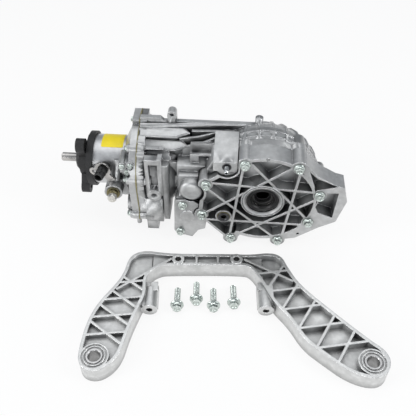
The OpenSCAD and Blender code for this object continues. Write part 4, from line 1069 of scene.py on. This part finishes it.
def makeSideCover():
    v = coverValues
    front, split, wall = v["front"], v["split"], v["wall"]
    body = coverOutline("sideCover", v, front, split)
    addTo(body, outputPlate("ear", v["ear"], front, v["earBack"]))
    # room for the tower, the vent lug and the dome of the case
    near, gap, high = front - 3, v["gap"], v["tower"][3]
    cutWith(body, outputPlate("towerGap", towerOutline(v, gap, high + 20), near, split + 1))
    cutWith(body, rodAlong("ventGap", v["ventLug"] + gap, near, split + 1, *v["vent"]))
    cutWith(body, rodAlong("domeGap", v["domeRadius"] + gap, near, split + 1, *v["dome"]))
    # pockets: the whole inside of the rim, less all that stays
    floor = front + v["depth"]
    pockets = coverOutline("pockets", v, front - 1, floor, 0.5 - v["rimWidth"], False)
    keep = [rodAlong("keepBoss", v["outRim"], near, floor + 1, steps=96),
            rodAlong("keepFill", v["fillBoss"], near, floor + 1, *v["fill"]),
            rodAlong("keepDome", v["domeRadius"] + wall + 1, near, floor + 1, *v["dome"]),
            rodAlong("keepVent", v["ventLug"] + wall, near, floor + 1, *v["vent"]),
            outputPlate("keepTower", towerOutline(v, wall, 120), near, floor + 1)]
    for x, z in v["bolts"]:
        keep.append(rodAlong("keepPad", v["padInner"], near, floor + 1, x, z, 32))
    for first, second in v["ribs"]:
        keep.append(outputPlate("rib", ribOutline(first, second, v["ribWidth"]), near, floor + 1))
    outer, inner = v["arcRib"], v["arcRib"] - v["ribWidth"]
    start, end = v["arcSweep"]
    sweeps = ((outer, range(start, end + 1, 3)), (inner, range(end, start - 1, -3)))
    arc = [(r * cos(radians(a)), r * sin(radians(a))) for r, sweep in sweeps for a in sweep]
    keep.append(outputPlate("arcRib", arc, near, floor + 1))
    for piece in keep:
        cutWith(pockets, piece)
    cutWith(body, pockets)
    deep = front + v["earDepth"]
    for points in v["earPockets"]:
        hollow = outputPlate("earPocket", points, front - 1, deep)
        cutWith(hollow, rodAlong("arcKeep", v["arcRib"], near, deep + 2, steps=96))
        for x, z in v["bolts"][:3]:
            cutWith(hollow, rodAlong("padKeep", v["padInner"], near, deep + 2, x, z, 32))
        cutWith(body, hollow)
    face, rim = -v["nearFace"], v["outRim"]
    boss = [(-floor - 2, v["outBoss"]), (-front - 3, rim), (face - 0.5, rim), (face, rim - 0.5)]
    addTo(body, discAlong("boss", boss))
    for profile in v["bores"]:
        cutWith(body, discAlong("bore", profile))
    for profile, (x, z) in ((v["fillBore"], v["fill"]), (v["earBore"], v["earHole"])):
        cutWith(body, discAlong("bore", profile, x, z, 40))
    cutWith(body, place(turnedRing("groove", v["groove"], 96), facingNear(outputX, 0, 0)))
    cutWith(body, outputPlate("notch", v["notch"], front - 1, front + 2))
    finishPiece(body, "castAluminium", ("side_cover",), 30)
    print("side cover ready:", len(body.data.polygons), "faces")


# main case: a copy of the CAD casting with the forms that it lacks
caseValues = {
    "split": -52, "flange": 12, "caseX": 109, "railRoot": 46,
    "trim": [(-108.5, -150), (150, -150), (150, 150), (-74, 150), (-74, 60), (-108.5, 60)],
    "oldRails": [(angle, 8.8, start, end, low) for angle in (8, 26, 42)
                 for start, end, low in ((121.3, 165, 70.8), (164.9, 197, 64.2))],
    "oldDome": (178, 222, -22, 30),
    "drumRoom": [(-40, 33), (-34, 48), (-20, 62), (-2, 76), (8, 81), (53, 82)],
    "bellRoom": [(-262, 40), (-191, 40), (-177, 46), (-157, 64), (-108, 64)],
    "roofLines": [(-34, 96.2), (-20, 95.7)], "roofInner": 80,
    "roofRest": [(-40, 20), (96, 20), (96, -110), (-110, -110), (-110, 20)],
    "rails": [(11, 81, 11, 86), (28, 78, 9, 84), (46, 77, 8, 44)],
    "towerFace": -84, "towerBack": -15, "towerEdge": 2.2,
    "slope": [(-56, 86), (-84.2, 78), (-84.2, 95), (-56, 95)],
    "shoulder": [(-93, 20), (-93, 56), (-85, 72), (-81, 72), (-81, 20)], "shoulderFace": -76,
    "foot": (179, 225, -20, 34), "lowerFoot": (175, 223, -24, 46), "footStep": 12, "footBack": -20,
    "domeBase": 72, "dome": [(20, 20.5), (80, 20.5), (84, 19), (86.5, 15.5), (88, 10.5)],
    "webs": [(110, -5, 3.4, 6, [(0, 30), (0, 85), (181, 85), (211, 62), (211, 30)]),
             (178, -27, 9, 3, [(0, 30), (0, 76), (32, 78), (66, 86), (66, 30)]),
             (183, -35, 9, 3, [(0, 30), (0, 66), (28, 70), (46, 77), (62, 85), (62, 30)])],
    "access": [(-146, -12), (-149, -50), (-151, -86), (-144, -99), (-132, -98), (-119, -102), (-108, -84),
               (-96, -79), (-90, -30), (-122, -8)],
    "accessFace": -78, "accessThick": 7, "accessDisc": (-126, -48, 13), "accessBack": -40, "edge": 1.2,
}


def railPiece(v, angle, top, half, length):
    x = v["caseX"]
    parts = []
    for inset, height in ((0, top - 2), (2, top)):
        h, l = half - inset, length - inset * 1.5
        points = [(x + 2, -h), (x + l - 22, -h), (x + l, 0), (x + l - 9, h), (x + 2, h)]
        parts.append(outlinePlate("rail", points, v["railRoot"], height, "z"))
    addTo(parts[0], parts[1])
    softenEdges(parts[0], 0.9, 2, 25)
    return place(parts[0], turn(angle, "X"))


def makeMainCase():
    v, cover = caseValues, coverValues
    split, face, back = v["split"], v["towerFace"], v["towerBack"]
    case = mergedCopy("main_case", "mainCase")
    # the joint flange is trimmed to the outline of the cover
    trim = outputPlate("trim", v["trim"], split - 0.5, split + v["flange"] - 0.05)
    cutWith(trim, coverOutline("joint", cover, split - 1, split + v["flange"] + 1))
    cutWith(case, trim)
    # the old rails and the small dome give way
    cutWith(case, outlinePlate("oldDome", boxOutline(*v["oldDome"]), -95, -58))
    for angle, half, start, end, low in v["oldRails"]:
        bar = outlinePlate("oldRail", boxOutline(start, end, -half, half), low, 96, "z")
        cutWith(case, place(bar, turn(angle, "X")))
    forms = railPiece(v, *v["rails"][0])
    for rail in v["rails"][1:]:
        addTo(forms, railPiece(v, *rail))
    for x, y, angle, width, points in v["webs"]:
        web = outlinePlate("web", points, -width / 2, width / 2)
        addTo(forms, place(web, shift(x, y) @ turn(angle)))
    left, right, low, high = cover["tower"]
    tower = outputPlate("tower", towerOutline(cover, 0, high), face, back)
    addTo(tower, rodAlong("lug", cover["ventLug"], face, back, *cover["vent"]))
    cutWith(tower, outlinePlate("slope", v["slope"], outputX + left - 1, outputX + right + 1, "x"))
    softenEdges(tower, v["towerEdge"], 3, 25)
    addTo(forms, tower)
    # stepped foot of the dome, shoulder of the tower and pad of the access cover
    base, deep = v["domeBase"], v["footBack"]
    shoulder = outputPlate("shoulder", v["shoulder"], v["shoulderFace"], back)
    foot = outlinePlate("foot", boxOutline(*v["foot"]), -base, deep)
    lower = outlinePlate("lowerFoot", boxOutline(*v["lowerFoot"]), -base + v["footStep"], deep)
    pad = outputPlate("pad", v["access"], v["accessFace"], v["accessBack"])
    for piece in (shoulder, foot, lower, pad):
        softenEdges(piece, v["edge"])
    for piece in (lower, shoulder, pad):
        addTo(foot, piece)
    cutWith(foot, coverOutline("gap", cover, -95, split + 0.01, cover["gap"]))
    addTo(forms, foot)
    addTo(forms, discAlong("dome", v["dome"], *cover["dome"], 72))
    inner = v["roofInner"]
    for y, radius in v["roofLines"]:
        profile = [(-y - 0.5, inner), (-y - 0.5, radius), (-y + 0.5, radius), (-y + 0.5, inner)]
        ring = place(turnedRing("roofLine", profile, 96), facingNear(outputX, 0, 0))
        cutWith(ring, outputPlate("roofRest", v["roofRest"], -60, 60))
        addTo(forms, ring)
    # the rooms for the gears and the clutch stay free
    cutWith(forms, discAlong("drumRoom", v["drumRoom"]))
    cutWith(forms, place(turnedPiece("bellRoom", v["bellRoom"], 72), facingFront(0, 0, 0)))
    addTo(case, forms)
    finishPiece(case, "castAluminium", ("main_case",), 30)
    print("main case ready:", len(case.data.polygons), "faces")


def makeAccessCover():
    v, cover = caseValues, coverValues
    face = v["accessFace"]
    plate = outputPlate("accessPlate", v["access"], face - v["accessThick"], face)
    softenEdges(plate, 1.5, 3)
    x, z, radius = v["accessDisc"]
    front = v["accessThick"] - face
    disc = [(-face, radius), (front + 0.8, radius), (front + 1.5, radius - 1)]
    addTo(plate, discAlong("disc", disc, x, z, 48))
    cutWith(plate, coverOutline("gap", cover, -95, v["split"], cover["gap"]))
    hollow = cover["domeRadius"] + cover["gap"]
    cutWith(plate, rodAlong("domeGap", hollow, -95, -60, *cover["dome"]))
    finishPiece(plate, "castAluminium", ("access_cover",), 30)
    print("access cover ready")


# raised floors in the lattice of the bracket, one height for each stretch of it
floorValues = {
    "slab": (3, 8), "inset": 0.6,
    "stretches": {
        "leftArm": ((-260, -92, -260, 60), 15.5),
        "crossBar": ((-92, 92, -60, 60), 17.5),
        "rightArm": ((92, 330, -260, 60), 11.5),
    },
}


def makeBracketFloors():
    v = floorValues
    parts = []
    low, high = v["slab"]
    for name, ((left, right, near, far), rise) in v["stretches"].items():
        slab = mergedCopy("mounting_bracket", name)
        box = outlinePlate("stretch", boxOutline(left, right, near, far), low, high, "z")
        cutWith(slab, place(box, kitMatrix()), "INTERSECT")
        makeActive(slab)
        editAll()
        bpy.ops.mesh.dissolve_limited(angle_limit=radians(1))
        bpy.ops.transform.shrink_fatten(value=-v["inset"] * mm, use_even_offset=True)
        bpy.ops.transform.translate(value=(0, 0, rise * mm))
        bpy.ops.object.mode_set(mode="OBJECT")
        parts.append(slab)
    finishPiece(joinPieces("bracketFloors", parts), "brightCasting", (), 30)
    nodes["mounting_bracket"].data.materials[0] = materials["brightCasting"]
    print("bracket floors ready")


makeCamera(cameraValues)
makeStudio(studioValues)
makeGroups()
materials = makeMaterials()
paintNodes(materials)
makeBolts()
makeSeals()
makeBushes()
makeFillPlug()
makeVentPin()
makeBarrelPlug()
makeConnector()
makeSealantBead()
makeLabel()
makeSideCover()
makeMainCase()
makeAccessCover()
makeBracketFloors()
